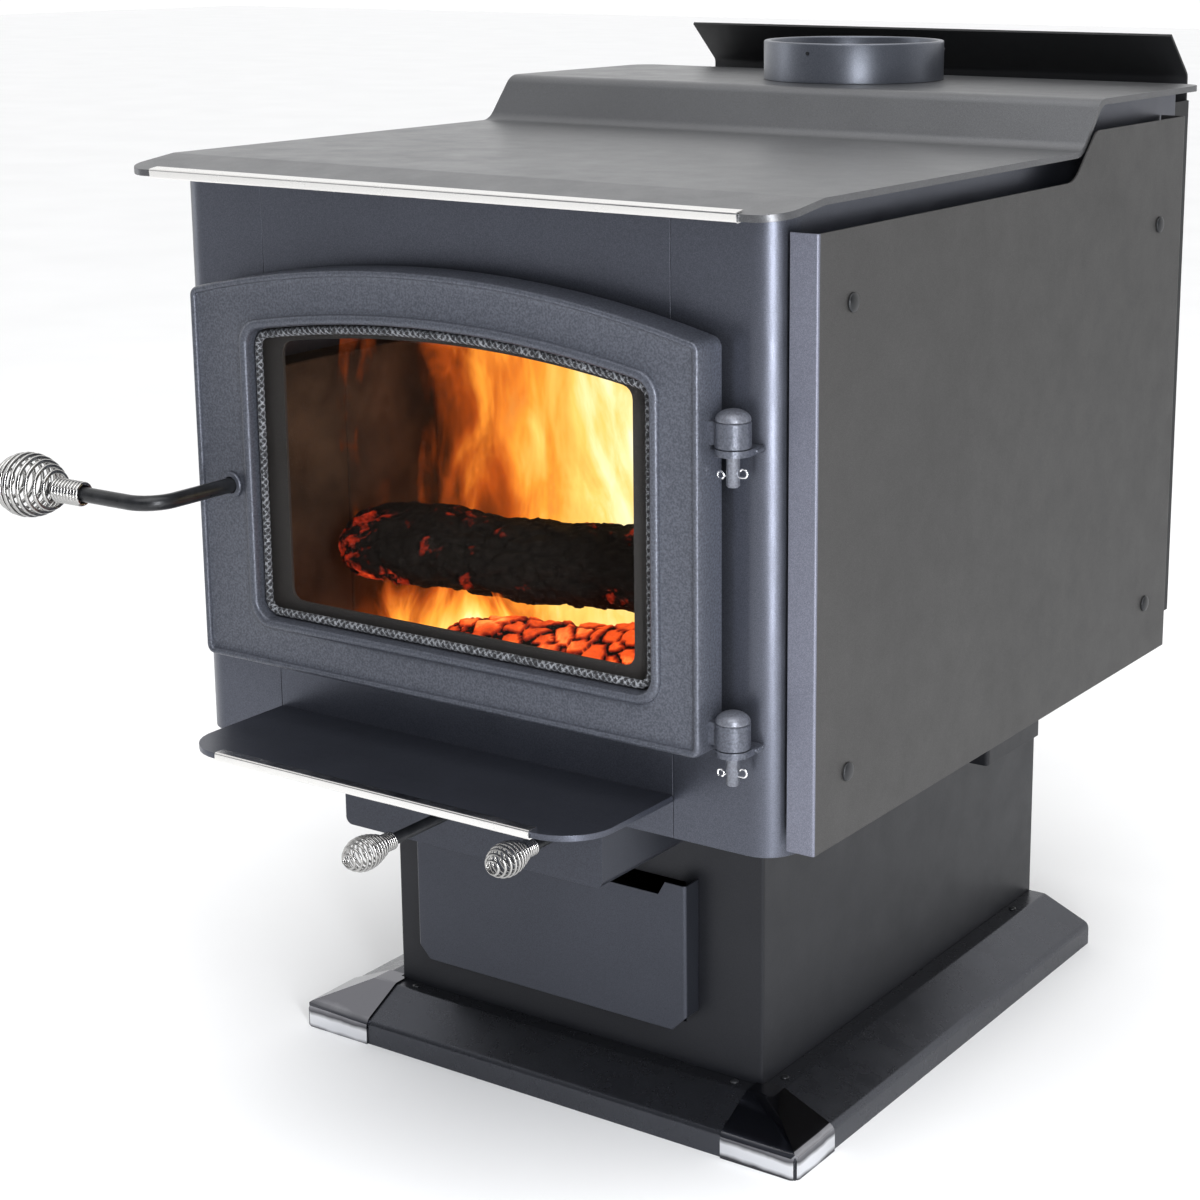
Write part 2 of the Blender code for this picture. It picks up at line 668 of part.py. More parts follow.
def build_skirts():
    """Three folded sheets round the front and sides, mitred under the corner caps."""
    corner = (BASE_HALF, BASE_FRONT)
    outer = (SKIRT_HALF, SKIRT_FRONT)
    slope = (outer[1] - corner[1]) / (outer[0] - corner[0])

    def on_mitre(x, shift):
        return (x, corner[1] + slope * (x - corner[0]) + shift)

    for side, sign in (("right", 1), ("left", -1)):
        sheet = prism(f"skirt_{side}", [side_skirt(sign)], "xz", 0.03, 0.611, SHIELD_PAINT)
        wedge = [on_mitre(0.15, GAP), (0.15, 0.0), (0.30, 0.0), on_mitre(0.30, GAP)]
        wedge = [(sign * x, y) for x, y in wedge]
        cut(sheet, prism(f"{side}_mitre", [wedge], "xy", -0.05, 0.1, collection=CUTTERS))

    front = prism("skirt_front", [band(front_skirt_path(), SKIRT_SHEET)], "yz", -0.30, 0.30, SHIELD_PAINT)
    for side, sign in (("right", 1), ("left", -1)):
        wedge = [on_mitre(0.15, -GAP), on_mitre(0.31, -GAP), (0.31, 0.25), (0.15, 0.25)]
        wedge = [(sign * x, y) for x, y in wedge]
        cut(front, prism(f"front_mitre_{side}", [wedge], "xy", -0.05, 0.1, collection=CUTTERS))


def side_skirt(sign):
    loop = band(side_skirt_path(), -SKIRT_SHEET)
    return loop if sign > 0 else mirrored(loop)


def hip_solid(name, sign, grow, paint=None, collection=CUTTERS):
    """The solid under both skirt slopes at one front corner, grown outwards."""
    side = offset(side_skirt_path(), grow)
    side = [*side, (0.10, side[-1][1]), (0.10, -0.01), (side[0][0], -0.01)]
    front = offset(front_skirt_path(), -grow)
    front = [*front, (0.22, front[-1][1]), (0.22, -0.01), (front[0][0], -0.01)]
    side = [(sign * x, z) for x, z in side]
    solid = prism(name, [side], "xz", 0.02, 0.20, paint, collection=collection)
    return combine(solid, prism(name + "_front", [front], "yz", -0.30, 0.30, collection=CUTTERS), "INTERSECT")


def build_corner_caps():
    """Bright mitred caps over the skirt's two front corners."""
    clear = 0.0005
    for side, sign in (("right", 1), ("left", -1)):
        cap = hip_solid(f"corner_cap_{side}", sign, clear + CAP_SHEET, CHROME, STOVE)
        cut(cap, hip_solid(f"cap_inside_{side}", sign, clear))
        x_edge = SKIRT_HALF + clear + CAP_SHEET + 0.0005
        y_edge = SKIRT_FRONT - clear - CAP_SHEET - 0.0005
        plan = rounded([
            (CAP_EDGE_X, y_edge, 0), (x_edge, y_edge, 0.009), (x_edge, CAP_EDGE_Y, 0), (CAP_EDGE_X, CAP_EDGE_Y, 0),
        ], 5)
        plan = [(sign * x, y) for x, y in plan]
        combine(cap, prism(f"cap_plan_{side}", [plan], "xy", 0.0, 0.1, collection=CUTTERS), "INTERSECT")
        xs = sorted((sign * 0.10, sign * (BASE_HALF + 0.0008)))
        cut(cap, box(f"cap_notch_{side}", (xs[0], BASE_FRONT - 0.0008, -0.01), (xs[1], 0.25, 0.1), collection=CUTTERS))


# ---------------------------------------------------------------- fire lining
def build_lining():
    inner = BODY_HALF - BODY_PLATE - 2 * GAP
    front = BODY_PLATE + 2 * GAP
    back = BODY_BACK - BODY_PLATE - 2 * GAP
    floor_top = 0.3023 + BRICK
    floor = rounded([
        (-inner, BODY_CORNER, 0), (-inner + BODY_CORNER, front, 0), (inner - BODY_CORNER, front, 0),
        (inner, BODY_CORNER, 0), (inner, back, 0), (-inner, back, 0),
    ])
    prism("brick_floor", [floor, circle(0.0, ASH_Y, 0.036)], "xy", 0.3023, floor_top, FIREBRICK)
    wall_low = floor_top + GAP
    for side, sign in (("right", 1), ("left", -1)):
        xs = sorted((sign * inner, sign * (inner - BRICK)))
        box(f"brick_wall_{side}", (xs[0], BODY_CORNER + 0.002, wall_low), (xs[1], back - BRICK - GAP, BRICK_TOP), FIREBRICK)
    box("brick_wall_back", (-inner, back - BRICK, wall_low), (inner, back, BRICK_TOP), FIREBRICK)

    for place_name, y in (("front", 0.20), ("rear", 0.42)):
        ring = [circle(y, TUBE_Z, TUBE_RADIUS, 20), circle(y, TUBE_Z, TUBE_RADIUS - 0.002, 20)]
        prism(f"air_tube_{place_name}", ring, "yz", -inner, inner, TUBE_STEEL)
    tube_top = TUBE_Z + TUBE_RADIUS + GAP
    box("baffle_board", (-inner + 0.004, 0.150, tube_top), (inner - 0.004, 0.620, tube_top + 0.025), BOARD)

    plug_frame = joint_frame("ash_plug_lift", (0.0, ASH_Y, floor_top))
    rest = floor_top + GAP
    profile = [
        (0.0, 0.030), (0.008, 0.029), (0.011, 0.024), (0.008, 0.019), (0.006, 0.017), (0.006, 0.008),
        (0.046, 0.006), (0.048, 0.004), (0.048, 0.0), (0.0345, 0.0), (0.0345, 0.296 - rest), (0.0, 0.296 - rest),
    ]
    turned("ash_plug", profile, (0.0, ASH_Y, rest), (0, 0, 0), BARE_STEEL, plug_frame, steps=24)


# ---------------------------------------------------------------- door, hinges and latch
def build_door(swing):
    rebate = door_outline(
        WINDOW_LEFT - GLASS_REBATE, WINDOW_RIGHT + GLASS_REBATE - 0.004, WINDOW_LOW - GLASS_REBATE,
        WINDOW_DROP - GLASS_REBATE, 0.012)

    def edge(inset, corner):
        return door_outline(DOOR_LEFT + inset, DOOR_RIGHT - inset, DOOR_LOW + inset, inset, corner)

    def window(outset, corner):
        return door_outline(
            WINDOW_LEFT - outset, WINDOW_RIGHT + outset, WINDOW_LOW - outset, WINDOW_DROP - outset, corner)

    seal_out, seal_in = seal_loops(0.0)
    frame = loft("door_frame", [
        (edge(0.0, 0.008), DOOR_BACK),
        (edge(0.0, 0.008), DOOR_FRONT - 0.0005),
        (edge(0.0014, 0.007), BEAD_FRONT),
        (edge(RIM - 0.0018, 0.006), BEAD_FRONT),
        (edge(RIM, 0.005), DOOR_FRONT),
        (window(BEAD, 0.020), DOOR_FRONT),
        (window(BEAD - 0.0020, 0.0185), BEAD_FRONT + 0.0006),
        (window(BEAD / 2, 0.017), BEAD_FRONT - 0.0006),
        (window(0.0020, 0.015), BEAD_FRONT + 0.0006),
        (window(0.0, WINDOW_CORNER), DOOR_FRONT),
        (window(0.0, WINDOW_CORNER), DOOR_LEDGE),
        (rebate, DOOR_LEDGE),
        (rebate, DOOR_BACK),
        (seal_in, DOOR_BACK),
        (seal_in, DOOR_BACK - 0.005),
        (seal_out, DOOR_BACK - 0.005),
        (seal_out, DOOR_BACK),
    ], CAST_PAINT, swing)
    cut(frame, cylinder(
        "latch_bore", (LATCH_X, -0.02, LATCH_Z), LATCH_ROD + 0.0005, 0.08, "y", 24, None, swing, CUTTERS))

    for lift in (0.0, -HINGE_PITCH):
        build_knuckle(frame, swing, lift)
    build_glazing(swing, rebate)


def seal_loops(clear):
    """The rope channel round the back of the door, or the rope itself when clear is above 0."""
    loops = []
    for inset, corner in ((SEAL_INSET + clear, 0.012), (SEAL_INSET + SEAL_WIDTH - clear, 0.008)):
        loops.append(door_outline(DOOR_LEFT + inset, DOOR_RIGHT - inset, DOOR_LOW + inset, inset, corner))
    return loops


def build_knuckle(frame, swing, lift):
    low, high = HINGE_UPPER_Z + lift, HINGE_UPPER_Z + KNUCKLE_HEIGHT + lift
    name = "upper" if lift == 0.0 else "lower"
    web = box(
        f"{name}_web", (DOOR_RIGHT - 0.004, HINGE_Y - 0.0050, low + 0.0010),
        (HINGE_X - 0.007, HINGE_Y + 0.0050, high - 0.0010), None, swing, CUTTERS)
    barrel = cylinder(
        f"{name}_barrel", (HINGE_X, HINGE_Y, (low + high) / 2), KNUCKLE_RADIUS, high - low, "z", 28, None, swing, CUTTERS)
    bore = cylinder(
        f"{name}_bore", (HINGE_X, HINGE_Y, (low + high) / 2), PIN_BORE, 0.05, "z", 20, None, swing, CUTTERS)
    join(frame, web, barrel)
    cut(frame, bore)


def build_glazing(swing, rebate):
    """Rope, ceramic glass and the sheet-metal retainer behind it."""
    rope_out = door_outline(
        WINDOW_LEFT + 0.0006, WINDOW_RIGHT - 0.0006, WINDOW_LOW + 0.0006, WINDOW_DROP + 0.0006, WINDOW_CORNER)
    rope_in = door_outline(
        WINDOW_LEFT + 0.0080, WINDOW_RIGHT - 0.0080, WINDOW_LOW + 0.0080, WINDOW_DROP + 0.0080, 0.008)
    prism("glass_rope", [rope_out, rope_in], "xz", -0.0300, -0.0242, ROPE, swing)

    inset = 0.0006
    right = WINDOW_RIGHT + GLASS_REBATE - 0.004 - inset
    left = WINDOW_LEFT - GLASS_REBATE + inset
    low = WINDOW_LOW - GLASS_REBATE + inset
    pane = door_outline(left, right, low, WINDOW_DROP - GLASS_REBATE + inset, 0.012)
    prism("door_glass", [pane], "xz", -0.0239, -0.0189, GLASS, swing)
    clear_view = door_outline(left + 0.032, right - 0.032, low + 0.024, WINDOW_DROP + 0.012, 0.010)
    prism("glass_retainer", [pane, clear_view], "xz", -0.0186, -0.0160, BARE_STEEL, swing)

    prism("door_seal", seal_loops(0.0005), "xz", DOOR_BACK - 0.0047, -GAP, ROPE, swing)


def build_hinge_brackets():
    for name, lift in (("upper", 0.0), ("lower", -HINGE_PITCH)):
        top = HINGE_UPPER_Z + lift - GAP - 0.0002
        outline = [
            (HINGE_X + KNUCKLE_RADIUS, -GAP), (HINGE_X - KNUCKLE_RADIUS, -GAP),
        ]
        for step in range(13):
            angle = math.pi + math.pi * step / 12
            outline.append((HINGE_X + KNUCKLE_RADIUS * math.cos(angle), HINGE_Y + KNUCKLE_RADIUS * math.sin(angle)))
        loops = [outline, circle(HINGE_X, HINGE_Y, PIN_BORE, 20)]
        prism(f"{name}_hinge_bracket", loops, "xy", top - HINGE_PLATE, top, CAST_PAINT)

        head = HINGE_UPPER_Z + KNUCKLE_HEIGHT + GAP + lift
        tip = top - HINGE_PLATE - 0.0225 - head
        clip_z = top - HINGE_PLATE - 0.0150
        profile = [
            (0.0, 0.0085), (0.0045, 0.0081), (0.0085, 0.0064), (0.0112, 0.0038), (0.0124, 0.0008), (0.0120, 0.0),
            (PIN_RADIUS, 0.0), (PIN_RADIUS, tip + 0.001), (PIN_RADIUS - 0.001, tip), (0.0, tip),
        ]
        pin = turned(f"{name}_hinge_pin", profile, (HINGE_X, HINGE_Y, head), (0, 0, 0), PIN_STEEL, steps=20)
        clip_hole = cylinder(
            f"{name}_clip_hole", (HINGE_X, HINGE_Y, clip_z), 0.0012, 0.03, "x", 12, collection=CUTTERS)
        cut(pin, clip_hole)
        rod(f"{name}_hinge_clip", clip_path(clip_z), 0.0008, CHROME, resolution=1)


def clip_path(z):
    """A wire clip: an eye, straight through the pin, then a bent tail hanging beside it."""
    points = []
    for step in range(9):
        angle = math.radians(-60 + 36 * step)
        points.append((HINGE_X - 0.0100 - 0.0026 * math.cos(angle), HINGE_Y, z + 0.0026 * math.sin(angle)))
    points.append((HINGE_X - 0.0062, HINGE_Y, z))
    points.append((HINGE_X + 0.0085, HINGE_Y, z))
    for step in range(9):
        angle = math.radians(-90 + 30 * step)
        points.append((HINGE_X + 0.0085 + 0.0030 * math.cos(angle), HINGE_Y, z + 0.0030 + 0.0030 * math.sin(angle)))
    return points


def coil(name, base, direction, neck_turns, neck_radius, bulb_length, bulb_radius, turns, wire, paint, frame):
    """A spring grip: a close-wound neck, then an open bulb, wound along direction from base."""
    direction = Vector(direction).normalized()
    side = direction.orthogonal().normalized()
    other = direction.cross(side)
    sides = 10
    pitch = 2 * wire + 0.0004
    neck_length = neck_turns * pitch
    points = []
    for step in range(neck_turns * sides):
        points.append((neck_length * step / (neck_turns * sides), neck_radius, step / sides))
    for step in range(turns * sides + 1):
        share = step / (turns * sides)
        swell = math.sin(math.pi * min(1.0, 0.06 + 0.90 * share)) ** 0.75
        radius = neck_radius * (1 - share) + (bulb_radius - neck_radius * (1 - share)) * swell
        points.append((neck_length + bulb_length * share, max(radius, 0.35 * neck_radius), neck_turns + step / sides))
    chain = []
    for along, radius, turn in points:
        angle = math.tau * turn
        chain.append(Vector(base) + direction * along + (side * math.cos(angle) + other * math.sin(angle)) * radius)
    return rod(name, chain, wire, paint, frame, 1)


def build_latch(turn):
    bend = 0.024
    corner_y = -LATCH_REACH
    points = [(LATCH_X, 0.0185, LATCH_Z)]
    for step in range(9):
        angle = math.pi / 2 * step / 8
        points.append((
            LATCH_X - bend + bend * math.cos(angle), corner_y + bend - bend * math.sin(angle), LATCH_Z))
    points.append((GRIP_NECK_X - 0.034, corner_y, LATCH_Z))
    handle = rod("latch_handle", points, LATCH_ROD, BLACK_ROD, turn)

    finger = rounded([
        (LATCH_X - 0.026, LATCH_Z - 0.007, 0.002), (LATCH_X + 0.010, LATCH_Z - 0.010, 0.004),
        (LATCH_X + 0.010, LATCH_Z + 0.010, 0.004), (LATCH_X - 0.026, LATCH_Z + 0.007, 0.002),
    ], 3)
    shaft_hole = circle(LATCH_X, LATCH_Z, LATCH_ROD + GAP, 20)
    prism("latch_cam", [finger, shaft_hole], "xz", 0.0115, 0.0175, BARE_STEEL, turn)
    coil("latch_grip", (GRIP_NECK_X, corner_y, LATCH_Z), (-1, 0, 0), 7, LATCH_ROD + 0.0024, 0.066, 0.0245, 9,
         0.0018, CHROME, turn)
    return handle


def build_latch_catch():
    box("latch_catch", (-0.2440, BODY_PLATE + GAP, LATCH_Z - 0.022), (-0.2160, BODY_PLATE + 0.0045, LATCH_Z + 0.022), BARE_STEEL)


# ---------------------------------------------------------------- air controls and ash drawer
def build_air_control(side, x, neck, plate_y, slide):
    stem = rod(f"{side}_air_rod", [(x, neck - 0.010, AIR_ROD_Z), (x, plate_y, AIR_ROD_Z)], AIR_ROD, BLACK_ROD, slide)
    damper = box(
        f"{side}_damper", (x - 0.022, plate_y - 0.028, AIR_ROD_Z - AIR_ROD - 0.0012),
        (x + 0.022, plate_y + 0.002, AIR_ROD_Z - AIR_ROD + 0.0010), None, slide, CUTTERS)
    join(stem, damper)
    coil(f"{side}_air_grip", (x, neck, AIR_ROD_Z), (0, -1, 0), 4, AIR_ROD + 0.0017, 0.040, 0.0125, 7,
         0.0012, CHROME, slide)


def build_drawer(slide):
    back = BASE_FRONT - GAP
    path = open_path([
        (DRAWER_LEFT, back, 0), (DRAWER_LEFT, DRAWER_FACE, 0.003),
        (DRAWER_RIGHT, DRAWER_FACE, 0.003), (DRAWER_RIGHT, back, 0),
    ], 3)
    face = prism("drawer_front", [band(path, -SHIELD_SHEET)], "xy", DRAWER_LOW, DRAWER_TAB, BODY_PAINT, slide)
    chamfer = 0.013
    past = 0.02
    tab = 0.026
    over = [
        (DRAWER_LEFT + tab, DRAWER_HIGH), (DRAWER_RIGHT - tab, DRAWER_HIGH),
        (DRAWER_RIGHT - tab + 0.012, DRAWER_TAB + 0.01), (DRAWER_LEFT + tab - 0.012, DRAWER_TAB + 0.01),
    ]
    low_left = [
        (DRAWER_LEFT - past, DRAWER_LOW + chamfer + past), (DRAWER_LEFT - past, DRAWER_LOW - past),
        (DRAWER_LEFT + chamfer + past, DRAWER_LOW - past),
    ]
    low_right = [
        (DRAWER_RIGHT + past, DRAWER_LOW + chamfer + past), (DRAWER_RIGHT - chamfer - past, DRAWER_LOW - past),
        (DRAWER_RIGHT + past, DRAWER_LOW - past),
    ]
    for name, loop in (("drawer_top_cut", over), ("drawer_left_cut", low_left), ("drawer_right_cut", low_right)):
        cut(face, prism(name, [loop], "xz", 0.05, 0.20, None, slide, CUTTERS))

    left, right = DRAWER_LEFT + PAN_INSET, DRAWER_RIGHT - PAN_INSET
    front = DRAWER_FACE + SHIELD_SHEET + GAP
    wall = 0.0015
    pan = box("ash_pan", (left, front, PAN_LOW), (right, PAN_BACK, PAN_HIGH), BARE_STEEL, slide)
    cut(pan, box("pan_inside", (left + wall, front + wall, PAN_LOW + wall),
                 (right - wall, PAN_BACK - wall, PAN_HIGH + 0.02), None, slide, CUTTERS))


def main():
    build_firebox()
    build_top()
    build_flue_collar()
    build_shields()
    build_lip()
    build_air_box()
    build_base()
    build_skirts()
    build_corner_caps()
    build_lining()
    swing = joint_frame("door_swing", (HINGE_X, HINGE_Y, HINGE_UPPER_Z))
    build_door(swing)
    build_hinge_brackets()
    build_latch_catch()
    build_latch(joint_frame("latch_turn", (LATCH_X, 0.0, LATCH_Z), swing))
    left_slide = joint_frame("left_air_slide", (LEFT_AIR_X, 0.0, AIR_ROD_Z))
    build_air_control("left", LEFT_AIR_X, LEFT_AIR_NECK, 0.060, left_slide)
    right_slide = joint_frame("right_air_slide", (RIGHT_AIR_X, 0.0, AIR_ROD_Z))
    build_air_control("right", RIGHT_AIR_X, RIGHT_AIR_NECK, 0.110, right_slide)
    build_drawer(joint_frame("drawer_slide", ((DRAWER_LEFT + DRAWER_RIGHT) / 2, DRAWER_FACE, PAN_LOW)))


main()
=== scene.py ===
"""Looks for the wood stove: finer pieces, procedural materials, the fire, a pale floor, studio lights and a camera."""

import math
import random

import bmesh
import bpy
from mathutils import Matrix, Vector, noise


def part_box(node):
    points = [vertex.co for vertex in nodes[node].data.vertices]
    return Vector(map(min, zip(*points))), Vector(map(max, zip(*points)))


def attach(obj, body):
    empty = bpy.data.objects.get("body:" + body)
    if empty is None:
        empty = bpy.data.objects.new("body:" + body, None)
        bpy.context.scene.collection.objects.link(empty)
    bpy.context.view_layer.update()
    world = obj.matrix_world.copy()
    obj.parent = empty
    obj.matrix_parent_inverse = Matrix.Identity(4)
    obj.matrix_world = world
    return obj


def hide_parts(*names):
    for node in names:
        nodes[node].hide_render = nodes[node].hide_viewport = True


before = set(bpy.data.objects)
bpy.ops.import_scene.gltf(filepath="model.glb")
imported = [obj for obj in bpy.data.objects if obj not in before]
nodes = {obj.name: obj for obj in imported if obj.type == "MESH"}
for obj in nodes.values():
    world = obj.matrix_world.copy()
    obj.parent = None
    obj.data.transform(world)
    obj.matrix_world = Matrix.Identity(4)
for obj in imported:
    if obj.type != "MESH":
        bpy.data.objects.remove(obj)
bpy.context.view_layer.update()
scene = bpy.context.scene

FRONT_Y = -0.345            # the firebox front, as in the model
LATCH = Vector((-0.2027, 0.0, 0.5147))
HINGE = Vector((0.2557, -0.020, 0.0))
HINGE_Z = 0.5957            # the foot of the upper knuckle
HINGES = (("upper", 0.0), ("lower", -0.2149))
KNUCKLE_RADIUS = 0.0127
KNUCKLE_HEIGHT = 0.0183
HINGE_PLATE = 0.0048
PIN_RADIUS = 0.0048
COLLAR = (0.0, 0.5803, 0.8046)
SKIRT_TOP = 0.0402            # the top of the skirt sheets
ROD_Z = 0.275               # the centre line of both air controls
LATCH_WIRE = 0.00165
AIR_WIRE = 0.0010
FIRE_FLOOR = 0.335          # the top of the floor brick
RANDOM = random.Random(11)


def at(x, y, z):
    """A point given from the firebox front, in world coordinates."""
    return Vector((x, y + FRONT_Y, z))


# ---------------------------------------------------------------- materials
class Shader:
    """One node material being built."""

    def __init__(self, name, colour, roughness, metallic=0.0):
        self.material = bpy.data.materials.new(name)
        self.material.use_nodes = True
        self.tree = self.material.node_tree
        self.principled = self.tree.nodes["Principled BSDF"]
        self.principled.inputs["Base Color"].default_value = (*colour, 1.0)
        self.principled.inputs["Roughness"].default_value = roughness
        self.principled.inputs["Metallic"].default_value = metallic
        self.coords = self.tree.nodes.new("ShaderNodeTexCoord").outputs["Object"]
        self.height = None

    def set(self, **values):
        for name, value in values.items():
            self.principled.inputs[name.replace("_", " ")].default_value = value
        return self

    def stretched(self, scale, shift=(0.0, 0.0, 0.0)):
        mapping = self.tree.nodes.new("ShaderNodeMapping")
        mapping.inputs["Scale"].default_value = scale
        mapping.inputs["Location"].default_value = shift
        self.tree.links.new(self.coords, mapping.inputs["Vector"])
        return mapping.outputs["Vector"]

    def noise(self, scale, detail=3.0, rough=0.5, vector=None, distortion=0.0):
        node = self.tree.nodes.new("ShaderNodeTexNoise")
        node.inputs["Scale"].default_value = scale
        node.inputs["Detail"].default_value = detail
        node.inputs["Roughness"].default_value = rough
        node.inputs["Distortion"].default_value = distortion
        self.tree.links.new(vector or self.coords, node.inputs["Vector"])
        return node.outputs["Fac"]

    def cells(self, scale):
        node = self.tree.nodes.new("ShaderNodeTexVoronoi")
        node.inputs["Scale"].default_value = scale
        self.tree.links.new(self.coords, node.inputs["Vector"])
        return node.outputs["Distance"]

    def ramp(self, value, *stops):
        node = self.tree.nodes.new("ShaderNodeValToRGB")
        elements = node.color_ramp.elements
        while len(elements) < len(stops):
            elements.new(0.5)
        for element, (position, colour) in zip(elements, stops):
            element.position = position
            element.color = (*colour, 1.0) if isinstance(colour, tuple) else (colour, colour, colour, 1.0)
        self.tree.links.new(value, node.inputs["Fac"])
        return node.outputs["Color"]

    def span(self, value, low, high, from_low=0.3, from_high=0.7):
        node = self.tree.nodes.new("ShaderNodeMapRange")
        for name, number in (("From Min", from_low), ("From Max", from_high), ("To Min", low), ("To Max", high)):
            node.inputs[name].default_value = number
        self.tree.links.new(value, node.inputs["Value"])
        return node.outputs["Result"]

    def math(self, operation, one, other):
        node = self.tree.nodes.new("ShaderNodeMath")
        node.operation = operation
        for socket, value in zip(node.inputs, (one, other)):
            if isinstance(value, (int, float)):
                socket.default_value = value
            else:
                self.tree.links.new(value, socket)
        return node.outputs["Value"]

    def mix(self, factor, one, other):
        node = self.tree.nodes.new("ShaderNodeMix")
        node.data_type = "RGBA"
        for name, value in (("Factor", factor), ("A", one), ("B", other)):
            socket = next(s for s in node.inputs if s.name == name and s.enabled)
            if isinstance(value, tuple):
                socket.default_value = (*value, 1.0)
            elif isinstance(value, (int, float)):
                socket.default_value = value
            else:
                self.tree.links.new(value, socket)
        return next(s for s in node.outputs if s.enabled)

    def feed(self, name, value):
        self.tree.links.new(value, self.principled.inputs[name])
        return self

    def attribute(self, name):
        node = self.tree.nodes.new("ShaderNodeAttribute")
        node.attribute_name = name
        return node.outputs["Fac"]

    def round_edges(self, radius):
        """Shades sharp edges as if rounded; the bumps that follow lie over it."""
        node = self.tree.nodes.new("ShaderNodeBevel")
        node.samples = 4
        node.inputs["Radius"].default_value = radius
        self.height = node.outputs["Normal"]

    def bump(self, height, distance, strength=1.0):
        node = self.tree.nodes.new("ShaderNodeBump")
        node.inputs["Distance"].default_value = distance
        node.inputs["Strength"].default_value = strength
        self.tree.links.new(height, node.inputs["Height"])
        if self.height is not None:
            self.tree.links.new(self.height, node.inputs["Normal"])
        self.height = node.outputs["Normal"]
        self.tree.links.new(self.height, self.principled.inputs["Normal"])
        return self


def paint(name, colour, roughness, metallic, sparkle=0.25, grain=0.00004, patch=0.06):
    """Sprayed high-heat paint: a fine metallic fleck, slight orange peel and faint handling marks."""
    shader = Shader(name, colour, roughness, metallic)
    fleck = shader.ramp(shader.noise(1500, 3.0, 0.75), (0.38, 1.0 - sparkle), (0.66, 1.0 + sparkle))
    cloud = shader.ramp(shader.noise(5, 3.0, 0.5), (0.35, 1.0 - patch), (0.65, 1.0 + patch))
    tint = shader.mix(1.0, colour, cloud)
    tint.node.blend_type = "MULTIPLY"
    tint = shader.mix(1.0, tint, fleck)
    tint.node.blend_type = "MULTIPLY"
    shader.feed("Base Color", tint)
    wear = shader.noise(26, 5.0, 0.65)
    shader.feed("Roughness", shader.span(wear, roughness - 0.04, roughness + 0.05))
    shader.round_edges(0.0007)
    shader.bump(shader.noise(420, 3.0, 0.6), grain)
    shader.bump(shader.noise(1300, 2.0, 0.5), grain)
    return shader.material


def painted_highlight_edge(look, boundary, highlight_gain):
    """Paints a highlight: makes the paint lighter in front of a depth, on the folded edge that faces the light."""
    tree = look.node_tree
    principled = tree.nodes["Principled BSDF"]
    source = principled.inputs["Base Color"].links[0].from_socket
    coords = tree.nodes.new("ShaderNodeTexCoord")
    split = tree.nodes.new("ShaderNodeSeparateXYZ")
    over = tree.nodes.new("ShaderNodeMath")
    over.operation = "LESS_THAN"
    over.inputs[1].default_value = boundary
    mix = tree.nodes.new("ShaderNodeMix")
    mix.data_type = "RGBA"
    mix.blend_type = "MULTIPLY"
    sockets = {socket.name: socket for socket in mix.inputs if socket.enabled}
    sockets["B"].default_value = (*highlight_gain, 1.0)
    tree.links.new(coords.outputs["Object"], split.inputs["Vector"])
    tree.links.new(split.outputs["Y"], over.inputs[0])
    tree.links.new(over.outputs["Value"], sockets["Factor"])
    tree.links.new(source, sockets["A"])
    tree.links.new(next(socket for socket in mix.outputs if socket.enabled), principled.inputs["Base Color"])
    return look


def cast_iron(name, dark, light, roughness=0.44):
    """Painted sand casting: a fine pebbly skin with a satin blue-grey paint over it."""
    shader = Shader(name, light, roughness, 0.5)
    pebbles = shader.noise(620, 3.0, 0.55)
    coarse = shader.noise(210, 2.0, 0.5)
    shader.feed("Base Color", shader.ramp(pebbles, (0.36, dark), (0.64, light)))
    shader.feed("Roughness", shader.span(pebbles, roughness + 0.09, roughness - 0.05))
    shader.bump(coarse, 0.00022, 0.6)
    shader.bump(pebbles, 0.00022, 0.8)
    return shader.material


def chrome(name, colour=(0.86, 0.86, 0.87), roughness=0.06, haze=1.9):
    """Bright plating with faint polishing haze and a few hairline scratches."""
    shader = Shader(name, colour, roughness, 1.0)
    cloud = shader.noise(45, 4.0, 0.7)
    shader.feed("Roughness", shader.span(cloud, roughness * 0.6, roughness * haze))
    scratches = shader.noise(700, 2.0, 0.5, shader.stretched((1.0, 6.0, 9.0)))
    shader.bump(scratches, 0.000006)
    return shader.material


def cap_painted_reflections():
    """Plated caps with painted reflections: the colour is nearly black above, with a painted bright band, the pale
    floor's reflection, along the foot.
    """
    shader = Shader("cap_painted_reflections", (0.5, 0.5, 0.52), 0.08, 1.0)
    split = shader.tree.nodes.new("ShaderNodeSeparateXYZ")
    shader.tree.links.new(shader.coords, split.inputs["Vector"])
    wander = shader.span(shader.noise(24, 3.0, 0.5), -0.002, 0.002)
    height = shader.math("ADD", split.outputs["Z"], wander)
    # painted reflection: colour bands by height stand in for what the chrome reflects
    shader.feed("Base Color", shader.ramp(
        shader.span(height, 0.0, 1.0, 0.0, 0.045),
        (0.02, (0.06, 0.06, 0.065)), (0.10, (0.72, 0.73, 0.76)), (0.26, (0.80, 0.81, 0.84)),
        (0.34, (0.10, 0.10, 0.11)), (0.46, (0.30, 0.30, 0.32)), (0.54, (0.16, 0.16, 0.175))))
    shader.round_edges(0.0016)
    shader.feed("Roughness", shader.span(shader.noise(45, 4.0, 0.7), 0.05, 0.13))
    return shader.material


